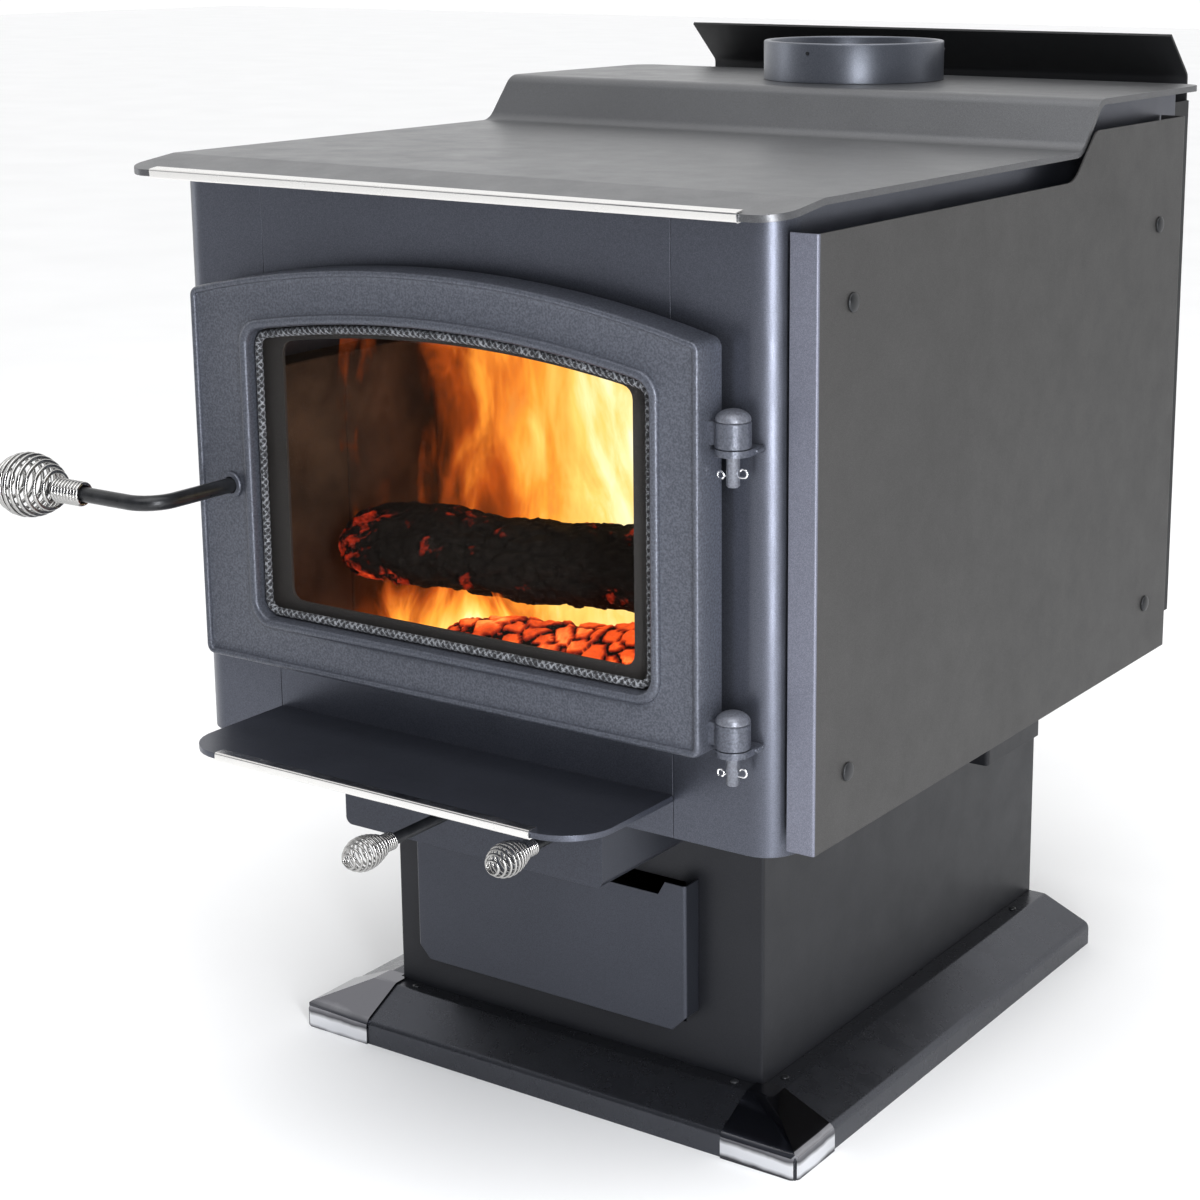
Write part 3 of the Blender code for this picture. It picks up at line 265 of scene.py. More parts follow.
def steel(name, colour, roughness, streak=(30.0, 1.0, 1.0), stain=0.25):
    """Bare mill steel: rolling streaks and darker heat stains."""
    shader = Shader(name, colour, roughness, 0.9)
    grain = shader.noise(90, 4.0, 0.7, shader.stretched(streak))
    marks = shader.ramp(shader.noise(14, 5.0, 0.65), (0.35, 1.0 - stain), (0.7, 1.0 + stain * 0.4))
    tint = shader.mix(1.0, colour, marks)
    tint.node.blend_type = "MULTIPLY"
    shader.feed("Base Color", tint)
    shader.feed("Roughness", shader.span(grain, roughness - 0.1, roughness + 0.12))
    shader.bump(grain, 0.00002)
    return shader.material


def black_steel(name="black_steel", roughness=0.30):
    """Blackened bar, satin, with light rubbing."""
    shader = Shader(name, (0.016, 0.017, 0.019), roughness, 0.4)
    rub = shader.noise(60, 5.0, 0.7)
    shader.feed("Base Color", shader.ramp(rub, (0.35, (0.011, 0.012, 0.013)), (0.72, (0.032, 0.033, 0.037))))
    shader.feed("Roughness", shader.span(rub, roughness - 0.05, roughness + 0.10))
    shader.bump(shader.noise(900, 2.0), 0.00002)
    return shader.material


def firebrick():
    """Buff firebrick, smoked brown to black, with pits."""
    shader = Shader("firebrick", (0.40, 0.30, 0.20), 0.95)
    shader.set(Specular_IOR_Level=0.1)
    blotch = shader.noise(35, 5.0, 0.7)
    soot = shader.noise(6, 4.0, 0.6)
    clay = shader.ramp(blotch, (0.30, (0.085, 0.045, 0.026)), (0.70, (0.19, 0.11, 0.062)))
    shader.feed("Base Color", shader.mix(shader.span(soot, 0.35, 0.95), clay, (0.010, 0.006, 0.004)))
    shader.bump(shader.noise(240, 5.0, 0.7), 0.0008)
    shader.bump(shader.cells(160), 0.0006, 0.6)
    return shader.material


def baffle_board():
    """Pressed fibre board, greyed by smoke."""
    shader = Shader("baffle_board", (0.55, 0.50, 0.44), 0.95)
    shader.feed("Base Color", shader.ramp(
        shader.noise(25, 5.0, 0.7), (0.3, (0.20, 0.17, 0.14)), (0.7, (0.56, 0.51, 0.45))))
    shader.bump(shader.noise(500, 4.0, 0.7), 0.0004)
    return shader.material


def ceramic_glass():
    """Clear ceramic glass: nearly invisible, with a faint bloom of soot in loose patches."""
    shader = Shader("ceramic_glass", (0.03, 0.022, 0.016), 0.04)
    shader.set(IOR=1.45, Specular_IOR_Level=0.25)
    shader.feed("Alpha", shader.span(shader.noise(9, 5.0, 0.7), 0.02, 0.06))
    shader.feed("Roughness", shader.span(shader.noise(30, 4.0, 0.7), 0.02, 0.07))
    return shader.material


def rope_fibre():
    """Knitted glass-fibre rope: black yarn with the pale fibre showing on the raised stitches."""
    shader = Shader("rope_fibre", (0.05, 0.05, 0.055), 0.85)
    stitches = shader.attribute("weave")
    flecks = shader.math("ADD", stitches, shader.span(shader.noise(1800, 3.0, 0.7), -0.45, 0.45))
    shader.feed("Base Color", shader.ramp(
        flecks, (0.02, (0.012, 0.012, 0.014)), (0.30, (0.040, 0.042, 0.048)), (0.56, (0.27, 0.28, 0.30))))
    shader.bump(shader.noise(3000, 2.0, 0.6), 0.0002)
    return shader.material


def burning(name, char, warm, scale, strength):
    """Charred wood: black crust over a red heart. warm is the level where the glow starts, the level where it is
    full, and how much the blocks of char add to the level."""
    shader = Shader(name, char, 0.95)
    shader.set(Specular_IOR_Level=0.08)
    shader.feed("Base Color", shader.ramp(shader.noise(180, 5.0, 0.7), (0.3, char), (0.75, (0.020, 0.016, 0.013))))
    embers = shader.noise(scale, 5.0, 0.62, None, 0.6)
    ash = shader.noise(scale * 5.5, 4.0, 0.65)
    level = shader.math("ADD", embers, shader.math("MULTIPLY", ash, 0.28))
    crust = shader.attribute("crust")
    level = shader.math("ADD", level, shader.math("MULTIPLY", crust, warm[2]))
    colours = shader.ramp(
        shader.span(level, 0.0, 1.0, warm[0], warm[1]), (0.0, (0.0, 0.0, 0.0)), (0.35, (0.30, 0.016, 0.004)),
        (0.70, (0.95, 0.10, 0.014)), (1.0, (1.0, 0.42, 0.09)))
    shader.feed("Emission Color", colours)
    shader.set(Emission_Strength=strength)
    shader.bump(shader.noise(90, 6.0, 0.7), 0.0016)
    shader.bump(ash, 0.0010)
    return shader.material


def fire(name, seed, scale, edge, strength, low):
    """Fire: tall licks of noise, clear outside and yellow-white at the heart. low thins them before edge."""
    shader = Shader(name, (0.0, 0.0, 0.0), 1.0)
    shader.set(Specular_IOR_Level=0.0)
    drawn = shader.stretched((scale, 1.0, scale * 0.34), (seed, seed * 0.37, seed * 0.61))
    licks = shader.noise(1.0, 4.0, 0.5, drawn, 1.1)
    fine = shader.noise(1.0, 4.0, 0.55, shader.stretched((scale * 2.7, 2.0, scale * 1.0), (seed, 0.0, 2.0 * seed)), 0.8)
    across = shader.attribute("level")
    level = shader.math("ADD", licks, shader.math("MULTIPLY", fine, 0.42))
    level = shader.math("ADD", level, shader.span(across, low, 0.30, edge, edge + 0.42))
    level = shader.span(level, 0.0, 1.0, 0.34, 1.27)
    shader.feed("Emission Color", shader.ramp(
        level, (0.0, (0.12, 0.014, 0.002)), (0.22, (0.62, 0.10, 0.010)), (0.42, (1.0, 0.33, 0.035)),
        (0.62, (1.0, 0.60, 0.13)), (0.80, (1.0, 0.88, 0.45)), (0.95, (1.0, 0.98, 0.80))))
    shader.set(Emission_Strength=strength)
    shader.feed("Alpha", shader.ramp(level, (0.04, 0.0), (0.40, 0.94)))
    return shader.material


BODY = paint("body_charcoal", (0.082, 0.088, 0.110), 0.34, 0.80)
# painted shade: a darker copy of the body paint for the air box and drawer front, which sit in shade below the firebox
LOWER_PAINTED_SHADE = paint("lower_charcoal_painted_shade", (0.048, 0.052, 0.066), 0.38, 0.70)
# painted light: a lighter copy of the body paint for the top plate, standing in for the light it catches from above
TOP_PAINTED_LIGHT = paint("top_charcoal_painted_light", (0.112, 0.114, 0.120), 0.36, 0.75, 0.22)
# painted highlight: the side shield's colour is made lighter and bluer in front of a depth, on its front flange
SHIELD_PAINTED_HIGHLIGHT = painted_highlight_edge(paint("shield_charcoal_painted_highlight", (0.053, 0.0515, 0.051), 0.45, 0.55, 0.28), -0.3352, (2.8, 3.0, 3.8))
# painted shade: a much darker copy of the body paint for the pedestal and its brackets, which sit in shade under the
# firebox
PEDESTAL_PAINTED_SHADE = paint("pedestal_charcoal_painted_shade", (0.016, 0.017, 0.021), 0.42, 0.5)
DEFLECTOR = paint("deflector_black", (0.006, 0.0065, 0.008), 0.60, 0.1, 0.3)
SKIRT = paint("skirt_charcoal", (0.066, 0.069, 0.080), 0.27, 0.85)
CAST = cast_iron("cast_iron_paint", (0.058, 0.063, 0.079), (0.104, 0.112, 0.138), 0.38)
COLLAR_PAINT = paint("collar_charcoal", (0.125, 0.135, 0.160), 0.34, 0.6)
CHROME = chrome("bright_chrome")
CAP_PAINTED_REFLECTIONS = cap_painted_reflections()
# painted reflection: the wire chrome is darkened to stand in for the dark surroundings that it reflects
GRIP_PAINTED_DARK_REFLECTION = chrome("wire_chrome_painted_dark_reflection", (0.40, 0.395, 0.385), 0.07)
TRIM = chrome("brushed_trim", (0.83, 0.82, 0.80), 0.16)
BLACK = black_steel()
SCREW = black_steel("screw_black", 0.38)
PIN = cast_iron("pin_charcoal", (0.11, 0.115, 0.135), (0.17, 0.18, 0.21), 0.36)
MILL = steel("mill_steel", (0.17, 0.165, 0.16), 0.5)
TUBE = steel("tube_steel", (0.25, 0.20, 0.17), 0.45, (1.0, 20.0, 20.0))
SOOTY = paint("sooty_steel", (0.020, 0.018, 0.017), 0.8, 0.1, 0.4, 0.0001)
BRICK = firebrick()
BOARD = baffle_board()
GLASS = ceramic_glass()
ROPE = rope_fibre()
CHAR = burning("charred_wood", (0.003, 0.0026, 0.0024), (0.76, 0.97, 0.05), 13, 1.2)
EMBER = burning("glowing_wood", (0.006, 0.005, 0.004), (0.86, 1.46, 0.62), 15, 1.25)
COALS = burning("ember_coals", (0.006, 0.005, 0.004), (0.48, 0.76, 0.0), 34, 1.3)
FLAME_BACK = fire("flame_deep", 3.0, 9.0, 0.04, 1.25, -0.45)
FLAME_FRONT = fire("flame_near", 7.0, 14.0, 0.10, 1.35, -0.42)
FLAME_LOW = fire("flame_low", 11.0, 16.0, 0.02, 1.6, -0.60)
FLAME_SIDE = fire("flame_side", 5.0, 15.0, 0.22, 0.5, -0.62)

LOOKS = {
    BODY: ["firebox_right_side", "firebox_left_side", "firebox_header", "firebox_sill", "ash_lip"],
    LOWER_PAINTED_SHADE: ["air_box", "drawer_front"],
    TOP_PAINTED_LIGHT: ["top_plate"],
    SHIELD_PAINTED_HIGHLIGHT: ["side_heat_shield"],
    PEDESTAL_PAINTED_SHADE: ["pedestal_shell", "right_support_bracket", "left_support_bracket"],
    DEFLECTOR: ["rear_heat_shield"],
    SKIRT: ["skirt_front", "skirt_left", "skirt_right"],
    COLLAR_PAINT: ["flue_collar"],
    CAST: ["door_frame", "upper_hinge_bracket", "lower_hinge_bracket"],
    CHROME: ["upper_hinge_clip", "lower_hinge_clip"],
    CAP_PAINTED_REFLECTIONS: ["corner_cap_left", "corner_cap_right"],
    TRIM: ["top_trim", "ash_lip_trim"],
    GRIP_PAINTED_DARK_REFLECTION: ["latch_grip", "left_air_grip", "right_air_grip"],
    BLACK: ["latch_handle", "left_air_rod", "right_air_rod"],
    SCREW: [f"shield_screw_{n}" for n in range(1, 5)],
    PIN: ["upper_hinge_pin", "lower_hinge_pin"],
    MILL: ["pedestal_floor", "ash_plug", "latch_cam", "latch_catch", "ash_pan"],
    TUBE: ["air_tube_front", "air_tube_rear"],
    SOOTY: ["firebox_back", "firebox_floor", "glass_retainer"],
    BRICK: ["brick_floor", "brick_wall_left", "brick_wall_right", "brick_wall_back"],
    BOARD: ["baffle_board"],
    GLASS: ["door_glass"],
    ROPE: ["glass_rope", "door_seal"],
}
for look, names in LOOKS.items():
    for name in names:
        nodes[name].data.materials.clear()
        nodes[name].data.materials.append(look)


# ---------------------------------------------------------------- shapes
def piece(name, shape, look, body, *stands_for, smooth=True, sharp=40.0):
    """Turns a bmesh in world coordinates into a piece that rides on a body."""
    bmesh.ops.recalc_face_normals(shape, faces=shape.faces)
    mesh = bpy.data.meshes.new(name)
    shape.to_mesh(mesh)
    shape.free()
    made = bpy.data.objects.new(name, mesh)
    scene.collection.objects.link(made)
    mesh.materials.append(look)
    if smooth:
        for face in mesh.polygons:
            face.use_smooth = True
        mesh.set_sharp_from_angle(angle=math.radians(sharp))
    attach(made, body)
    if stands_for:
        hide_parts(*stands_for)
    return made


def strip(shape, rows, closed_rows=False, closed_columns=True):
    """Quads between rows of vertices that all have the same length."""
    pairs = list(zip(rows, rows[1:]))
    if closed_rows:
        pairs.append((rows[-1], rows[0]))
    count = len(rows[0])
    for row, following in pairs:
        for n in range(count if closed_columns else count - 1):
            shape.faces.new((row[n], row[(n + 1) % count], following[(n + 1) % count], following[n]))


def loft(rings, close=True, cap=False):
    """A skin over rings of world points."""
    shape = bmesh.new()
    rows = [[shape.verts.new(point) for point in ring] for ring in rings]
    strip(shape, rows, closed_rows=close)
    if cap:
        shape.faces.new(rows[0])
        shape.faces.new(rows[-1])
    return shape


def on_circle(one, other, share):
    """The unit vector at a share of a full turn from one towards other."""
    return one * math.cos(math.tau * share) + other * math.sin(math.tau * share)


def lathe(profile, origin, axis, sides=64, close=False):
    """A profile of (radius, height) turned round an axis; both ends sit on the axis unless close is set."""
    axis = Vector(axis).normalized()
    one = axis.orthogonal().normalized()
    other = axis.cross(one)
    shape = bmesh.new()
    rows = []
    for radius, height in profile:
        centre = Vector(origin) + axis * height
        if radius == 0.0:
            rows.append([shape.verts.new(centre)])
            continue
        rows.append([shape.verts.new(centre + on_circle(one, other, n / sides) * radius) for n in range(sides)])
    pairs = list(zip(rows, rows[1:]))
    if close:
        pairs.append((rows[-1], rows[0]))
    for row, following in pairs:
        for n in range(sides):
            corners = [ring[k % len(ring)] for ring, k in ((row, n), (row, n + 1), (following, n + 1), (following, n))]
            shape.faces.new(list(dict.fromkeys(corners)))
    return shape


def sweep(chain, radius, sides=12):
    """A round wire along a chain of points, kept free of twist."""
    shape = bmesh.new()
    rows = []
    normal = None
    for n, point in enumerate(chain):
        along = (chain[min(n + 1, len(chain) - 1)] - chain[max(n - 1, 0)]).normalized()
        normal = along.orthogonal() if normal is None else normal - along * normal.dot(along)
        normal.normalize()
        side = along.cross(normal)
        rows.append([shape.verts.new(point + on_circle(normal, side, k / sides) * radius) for k in range(sides)])
    strip(shape, rows)
    shape.faces.new(rows[0])
    shape.faces.new(rows[-1])
    return shape


def arc_corners(corners, steps):
    """A closed outline from (x, y, radius) corners, each radius as an arc of that many steps."""
    points = []
    for index, (x, y, radius) in enumerate(corners):
        corner = Vector((x, y))
        if radius == 0.0:
            points.append((x, y))
            continue
        before = (Vector(corners[index - 1][:2]) - corner).normalized()
        after = (Vector(corners[(index + 1) % len(corners)][:2]) - corner).normalized()
        half = before.angle(after) / 2
        centre = corner + (before + after).normalized() * (radius / math.sin(half))
        start = corner + before * (radius / math.tan(half)) - centre
        turn = start.angle_signed(corner + after * (radius / math.tan(half)) - centre)
        for step in range(steps + 1):
            angle = turn * step / steps
            points.append((
                centre.x + start.x * math.cos(angle) + start.y * math.sin(angle),
                centre.y + start.y * math.cos(angle) - start.x * math.sin(angle)))
    return points


# ---------------------------------------------------------------- the door casting
DOOR = {"left": -0.2365, "right": 0.2385, "low": 0.3725, "top": 0.697}
ARCH = 0.983
PANE = {"left": -0.178, "right": 0.196, "low": 0.412, "drop": 0.042}


def door_loop(inset, corner, y, pane=False):
    """The door's outline, or its window's, moved in by inset, at depth y."""
    edges = PANE if pane else DOOR
    left, right, low = edges["left"] + inset, edges["right"] - inset, edges["low"] + inset
    top = DOOR["top"] - (PANE["drop"] if pane else 0.0) - inset
    arch = []
    for step in range(17):
        x = right + (left - right) * step / 16
        arch.append((x, top - ARCH + math.sqrt(ARCH ** 2 - x ** 2)))
    corners = [(left, low, corner), (right, low, corner), (*arch[0], corner)]
    corners += [(*point, 0.0) for point in arch[1:-1]] + [(*arch[-1], corner)]
    return [at(x, y, z) for x, z in arc_corners(corners, 8)]


def ridge(start, end, crest, foot_start, foot_end, steps=8):
    """(inset, y) points over a rounded ridge between two insets."""
    points = []
    for step in range(steps + 1):
        angle = math.pi * step / steps
        inset = start + (end - start) * (1 - math.cos(angle)) / 2
        foot = foot_start + (foot_end - foot_start) * step / steps
        points.append((inset, foot + (crest - foot) * math.sin(angle) ** 0.75))
    return points


def build_door():
    """The door casting: a rolled rim, a shallow dished field and a rolled bead round the window."""
    rings = [door_loop(0.0, 0.008, -0.008), door_loop(0.0, 0.008, -0.0325)]
    for inset, y in ridge(0.0004, 0.0058, -0.0370, -0.0335, -0.0338):
        rings.append(door_loop(inset, max(0.008 - inset, 0.0025), y))
    rings.append(door_loop(0.0075, 0.003, -0.0331))
    rings.append(door_loop(0.0110, 0.003, -0.0327))
    rings.append(door_loop(-0.0130, 0.024, -0.0330, True))
    rings.append(door_loop(-0.0100, 0.022, -0.0336, True))
    for inset, y in ridge(-0.0084, -0.0006, -0.0376, -0.0340, -0.0330):
        rings.append(door_loop(inset, 0.014 - inset * 0.7, y, True))
    rings.append(door_loop(0.0, 0.014, -0.0300, True))
    rings.append(door_loop(0.0, 0.014, -0.0242, True))
    rings.append(door_loop(-0.012, 0.012, -0.0242, True))
    rings.append(door_loop(-0.012, 0.012, -0.0080, True))
    for inset, y in ((0.0175, -0.008), (0.0175, -0.013), (0.0085, -0.013), (0.0085, -0.008)):
        rings.append(door_loop(inset, 0.012, y))
    shape = loft(rings)
    for vertex in shape.verts:
        local = vertex.co
        if local.y - FRONT_Y < -0.030:
            lump = noise.noise(local * 260.0) * 0.00016 + noise.noise(local * 70.0) * 0.00012
            vertex.co.y += max(lump, -0.0001)
    door = piece("door_casting", shape, CAST, "door", "door_frame", sharp=50.0)
    cutter = bpy.data.objects.new("latch_bore", bpy.data.meshes.new("latch_bore"))
    hole = lathe([(0.0, -0.05), (0.0068, -0.05), (0.0068, 0.03), (0.0, 0.03)], at(LATCH.x, 0, LATCH.z), (0, 1, 0), 32)
    bmesh.ops.recalc_face_normals(hole, faces=hole.faces)
    hole.to_mesh(cutter.data)
    hole.free()
    scene.collection.objects.link(cutter)
    cut = door.modifiers.new("latch_bore", "BOOLEAN")
    cut.operation = "DIFFERENCE"
    cut.solver = "EXACT"
    cut.object = cutter
    bpy.context.view_layer.update()
    finished = bpy.data.meshes.new_from_object(door.evaluated_get(bpy.context.evaluated_depsgraph_get()))
    door.modifiers.clear()
    door.data = finished
    bpy.data.objects.remove(cutter, do_unlink=True)

    boss = lathe([
        (0.0068, 0.0), (0.0105, 0.0), (0.0105, -0.0014), (0.0098, -0.0022), (0.0068, -0.0022),
    ], at(LATCH.x, -0.0335, LATCH.z), (0, 1, 0), 40, close=True)
    piece("latch_boss", boss, CAST, "door")
    bore, chamfered, edge = 0.0055, KNUCKLE_RADIUS - 0.0006, 0.0007
    web = [(0.2350, -0.0252), (0.2462, -0.0252), (0.2462, -0.0150), (0.2350, -0.0150)]
    for name, lift in HINGES:
        low = HINGE_Z + lift
        barrel = lathe([
            (bore, 0.0), (chamfered, 0.0), (KNUCKLE_RADIUS, edge), (KNUCKLE_RADIUS, KNUCKLE_HEIGHT - edge),
            (chamfered, KNUCKLE_HEIGHT), (bore, KNUCKLE_HEIGHT),
        ], at(HINGE.x, HINGE.y, low), (0, 0, 1), close=True)
        piece(f"{name}_knuckle", barrel, CAST, "door", sharp=35.0)
        shape = loft([[at(x, y, low + z) for x, y in web] for z in (0.0010, 0.0173)], close=False, cap=True)
        piece(f"{name}_web", shape, CAST, "door", smooth=False)


def rope_ring(name, loop, middle, radius, depth, node):
    """Knitted rope along a loop: a flattened tube whose skin rises and falls with the stitches."""
    chain = []
    count = len(loop)
    for n, point in enumerate(loop):
        following = loop[(n + 1) % count]
        parts = max(1, round((following - point).length / 0.0009))
        chain += [point.lerp(following, part / parts) for part in range(parts)]
    shape = bmesh.new()
    weave = shape.verts.layers.float.new("weave")
    rows = []
    travelled = 0.0
    for n, point in enumerate(chain):
        along = (chain[(n + 1) % len(chain)] - chain[n - 1]).normalized()
        across = Vector((0, 1, 0)).cross(along).normalized()
        row = []
        for k in range(18):
            angle = math.tau * k / 18
            one = math.sin(3 * angle + travelled * 1150)
            other = math.sin(3 * angle - travelled * 1150)
            stitch = max(one, other) * 0.5 + 0.5 * noise.noise(point * 900 + Vector((k, 0, 0)))
            reach = 1.0 - 0.10 * (1 - stitch)
            vertex = shape.verts.new(
                Vector((point.x, middle + FRONT_Y, point.z))
                + across * (math.cos(angle) * radius * reach)
                + Vector((0, 1, 0)) * (math.sin(angle) * depth * reach))
            vertex[weave] = stitch
            row.append(vertex)
        rows.append(row)
        travelled += (chain[(n + 1) % len(chain)] - point).length
    strip(shape, rows, closed_rows=True)
    piece(name, shape, ROPE, "door", node)


def build_ropes():
    rope_ring("window_rope", door_loop(0.0043, 0.010, 0.0, True), -0.0271, 0.0034, 0.0029, "glass_rope")
    rope_ring("seal_rope", door_loop(0.0130, 0.010, 0.0), -0.0065, 0.0039, 0.0060, "door_seal")


# ---------------------------------------------------------------- hinges, screws and small hardware
def build_hinges():
    """Each hinge's fixed half: pin, bracket with its weld, and the wire clip through the pin's foot."""
    for name, lift in HINGES:
        top = HINGE_Z + lift - 0.0005
        plate_foot = top - HINGE_PLATE
        head = HINGE_Z + KNUCKLE_HEIGHT + 0.0003 + lift
        dome = [(0.0124 * math.sin(angle), 0.0008 + 0.0076 * math.cos(angle))
                for angle in (math.pi / 2 * n / 10 for n in range(11))]
        tip = plate_foot - 0.0225 - head
        profile = [(0.0, dome[0][1])] + dome[1:] + [
            (0.0124, 0.0004), (0.0120, 0.0), (PIN_RADIUS, 0.0), (PIN_RADIUS, tip + 0.0012), (0.0036, tip), (0.0, tip)]
        piece(f"{name}_pin", lathe(profile, at(HINGE.x, HINGE.y, head), (0, 0, 1), 56), PIN, "stove",
              f"{name}_hinge_pin", sharp=45.0)

        outline = [(HINGE.x + KNUCKLE_RADIUS, -0.0003), (HINGE.x - KNUCKLE_RADIUS, -0.0003)]
        for n in range(41):
            angle = math.pi + math.pi * n / 40
            outline.append((HINGE.x + KNUCKLE_RADIUS * math.cos(angle), HINGE.y + KNUCKLE_RADIUS * math.sin(angle)))
        hole = []
        for x, y in outline:
            away = Vector((x - HINGE.x, y - HINGE.y)).normalized() * (PIN_RADIUS + 0.0005)
            hole.append((HINGE.x + away.x, HINGE.y + away.y))
        rings = [[at(x, y, z) for x, y in loop]
                 for loop, z in ((outline, top), (outline, plate_foot), (hole, plate_foot), (hole, top))]
        piece(f"{name}_bracket", loft(rings), CAST, "stove", f"{name}_hinge_bracket", sharp=35.0)

        weld = bmesh.new()
        for n in range(9):
            z = top - HINGE_PLATE / 2 + 0.0006 * RANDOM.uniform(-1, 1)
            spot = at(HINGE.x + KNUCKLE_RADIUS + 0.0003, -0.0018 - 0.0011 * n, z)
            bmesh.ops.create_icosphere(weld, subdivisions=2, radius=0.0015, matrix=Matrix.Translation(spot))
        piece(f"{name}_weld", weld, CAST, "stove")

        z = plate_foot - 0.0150
        eye = [at(HINGE.x - 0.0100 - 0.0026 * math.cos(angle), HINGE.y, z + 0.0026 * math.sin(angle))
               for angle in (math.radians(-60 + 12 * n) for n in range(27))]
        bar = [at(HINGE.x - 0.0062 + 0.0147 * n / 12, HINGE.y, z) for n in range(13)]
        tail = [at(HINGE.x + 0.0085 + 0.0030 * math.cos(angle), HINGE.y, z + 0.0030 + 0.0030 * math.sin(angle))
                for angle in (math.radians(-90 + 12 * n) for n in range(21))]
        piece(f"{name}_clip", sweep(eye + bar + tail[1:], 0.0008), CHROME, "stove", f"{name}_hinge_clip")


def pan_head(radius, height):
    """A screw head: a low dome over a short rim."""
    points = [(0.0, height)]
    for n in range(1, 7):
        angle = math.pi / 2 * n / 6
        points.append((radius * math.sin(angle), height * 0.25 + height * 0.75 * math.cos(angle)))
    return points + [(radius, 0.0), (0.0, 0.0)]


def build_screws():
    """Side shield screws, which replace their CAD nodes, and the small ones on the skirt and collar."""
    for n, (y, z) in enumerate([(y, z) for y in (0.054, 0.581) for z in (0.3507, 0.690)], 1):
        profile = pan_head(0.0070, 0.0028)[:-1] + [(0.0030, 0.0), (0.0030, -0.0230), (0.0, -0.0230)]
        piece(f"shield_bolt_{n}", lathe(profile, at(0.3058, y, z), (1, 0, 0), 40), SCREW, "stove", f"shield_screw_{n}")
    spots = [(x, y) for x in (0.1948, -0.1948) for y in (0.152, 0.560)] + [(0.165, 0.1235), (-0.165, 0.1235)]
    for n, (x, y) in enumerate(spots, 1):
        piece(f"skirt_screw_{n}", lathe(pan_head(0.0034, 0.0018), at(x, y, SKIRT_TOP), (0, 0, 1), 28), SCREW, "stove")
    for n in range(3):
        angle = math.radians(-90 + 120 * n)
        out = Vector((math.cos(angle), math.sin(angle), 0.0))
        head = lathe([(0.0, 0.0010), (0.0016, 0.0009), (0.0019, 0.0), (0.0019, -0.0052), (0.0, -0.0052)],
                     at(*COLLAR) + Vector((0, 0, 0.026)) + out * 0.0822, out, 20)
        piece(f"collar_screw_{n + 1}", head, SCREW, "stove")


def build_collar():
    profile = [(0.0824, 0.0), (0.0824, 0.0334), (0.0820, 0.0343), (0.0812, 0.0348), (0.0777, 0.0348),
               (0.0769, 0.0343), (0.0765, 0.0334), (0.0765, 0.0)]
    piece("collar_ring", lathe(profile, at(*COLLAR), (0, 0, 1), 160, close=True), COLLAR_PAINT, "stove",
          "flue_collar", sharp=35.0)


# ---------------------------------------------------------------- wound grips and handles
def spring(base, direction, neck, neck_turns, bulb, bulb_turns, length, wire):
    """The centre line of a wound grip: close turns of radius neck, then a bulb that narrows to its tip."""
    direction = Vector(direction).normalized()
    one = direction.orthogonal().normalized()
    other = direction.cross(one)
    pitch = 2 * wire + 0.0001
    start = neck_turns * pitch
    points = []
    steps = 28
    for n in range(neck_turns * steps):
        points.append((pitch * n / steps, neck, n / steps))
    for n in range(bulb_turns * steps + 1):
        share = n / (bulb_turns * steps)
        swell = math.sin(math.pi * min(1.0, 0.05 + 0.90 * share)) ** 0.75
        flat = neck * (1 - share)
        radius = max(flat + (bulb - flat) * swell, neck * 0.35)
        points.append((start + (length - start) * share, radius, neck_turns + n / steps))
    return [base + direction * along + on_circle(one, other, turn) * radius for along, radius, turn in points]


def build_handles():
    corner_y, bend = -0.120, 0.024
    path = [at(LATCH.x, 0.0185, LATCH.z), at(LATCH.x, -0.02, LATCH.z)]
    for n in range(21):
        angle = math.pi / 2 * n / 20
        path.append(at(LATCH.x - bend + bend * math.cos(angle), corner_y + bend - bend * math.sin(angle), LATCH.z))
    path.append(at(-0.308, corner_y, LATCH.z))
    piece("latch_bar", sweep(path, 0.006, 32), BLACK, "latch", "latch_handle")
    coil = spring(at(-0.274, corner_y, LATCH.z), (-1, 0, 0), 0.0082, 9, 0.0243, 10, 0.0932, LATCH_WIRE)
    piece("latch_spring", sweep(coil, LATCH_WIRE), GRIP_PAINTED_DARK_REFLECTION, "latch", "latch_grip")

    for side, x, neck, end in (("left", -0.0095, -0.080, 0.060), ("right", 0.086, -0.032, 0.110)):
        body = f"{side}_air_control"
        rod = [(0.0, 0.0), (0.0040, 0.0), (0.0045, 0.0006), (0.0045, end - neck + 0.0095), (0.0, end - neck + 0.0098)]
        shape = lathe(rod, at(x, neck - 0.010, ROD_Z), (0, 1, 0), 32)
        plate = [at(x + u, v, ROD_Z - 0.0057) for u, v in (
            (-0.022, end - 0.028), (0.022, end - 0.028), (0.022, end + 0.002), (-0.022, end + 0.002))]
        low_row = [shape.verts.new(point) for point in plate]
        high_row = [shape.verts.new(point + Vector((0, 0, 0.0022))) for point in plate]
        strip(shape, [low_row, high_row])
        shape.faces.new(low_row)
        shape.faces.new(high_row)
        piece(f"{side}_air_stem", shape, BLACK, body, f"{side}_air_rod")
        coil = spring(at(x, neck, ROD_Z), (0, -1, 0), 0.0062, 6, 0.0124, 9, 0.0500, AIR_WIRE)
        piece(f"{side}_air_spring", sweep(coil, AIR_WIRE, 10), GRIP_PAINTED_DARK_REFLECTION, body, f"{side}_air_grip")


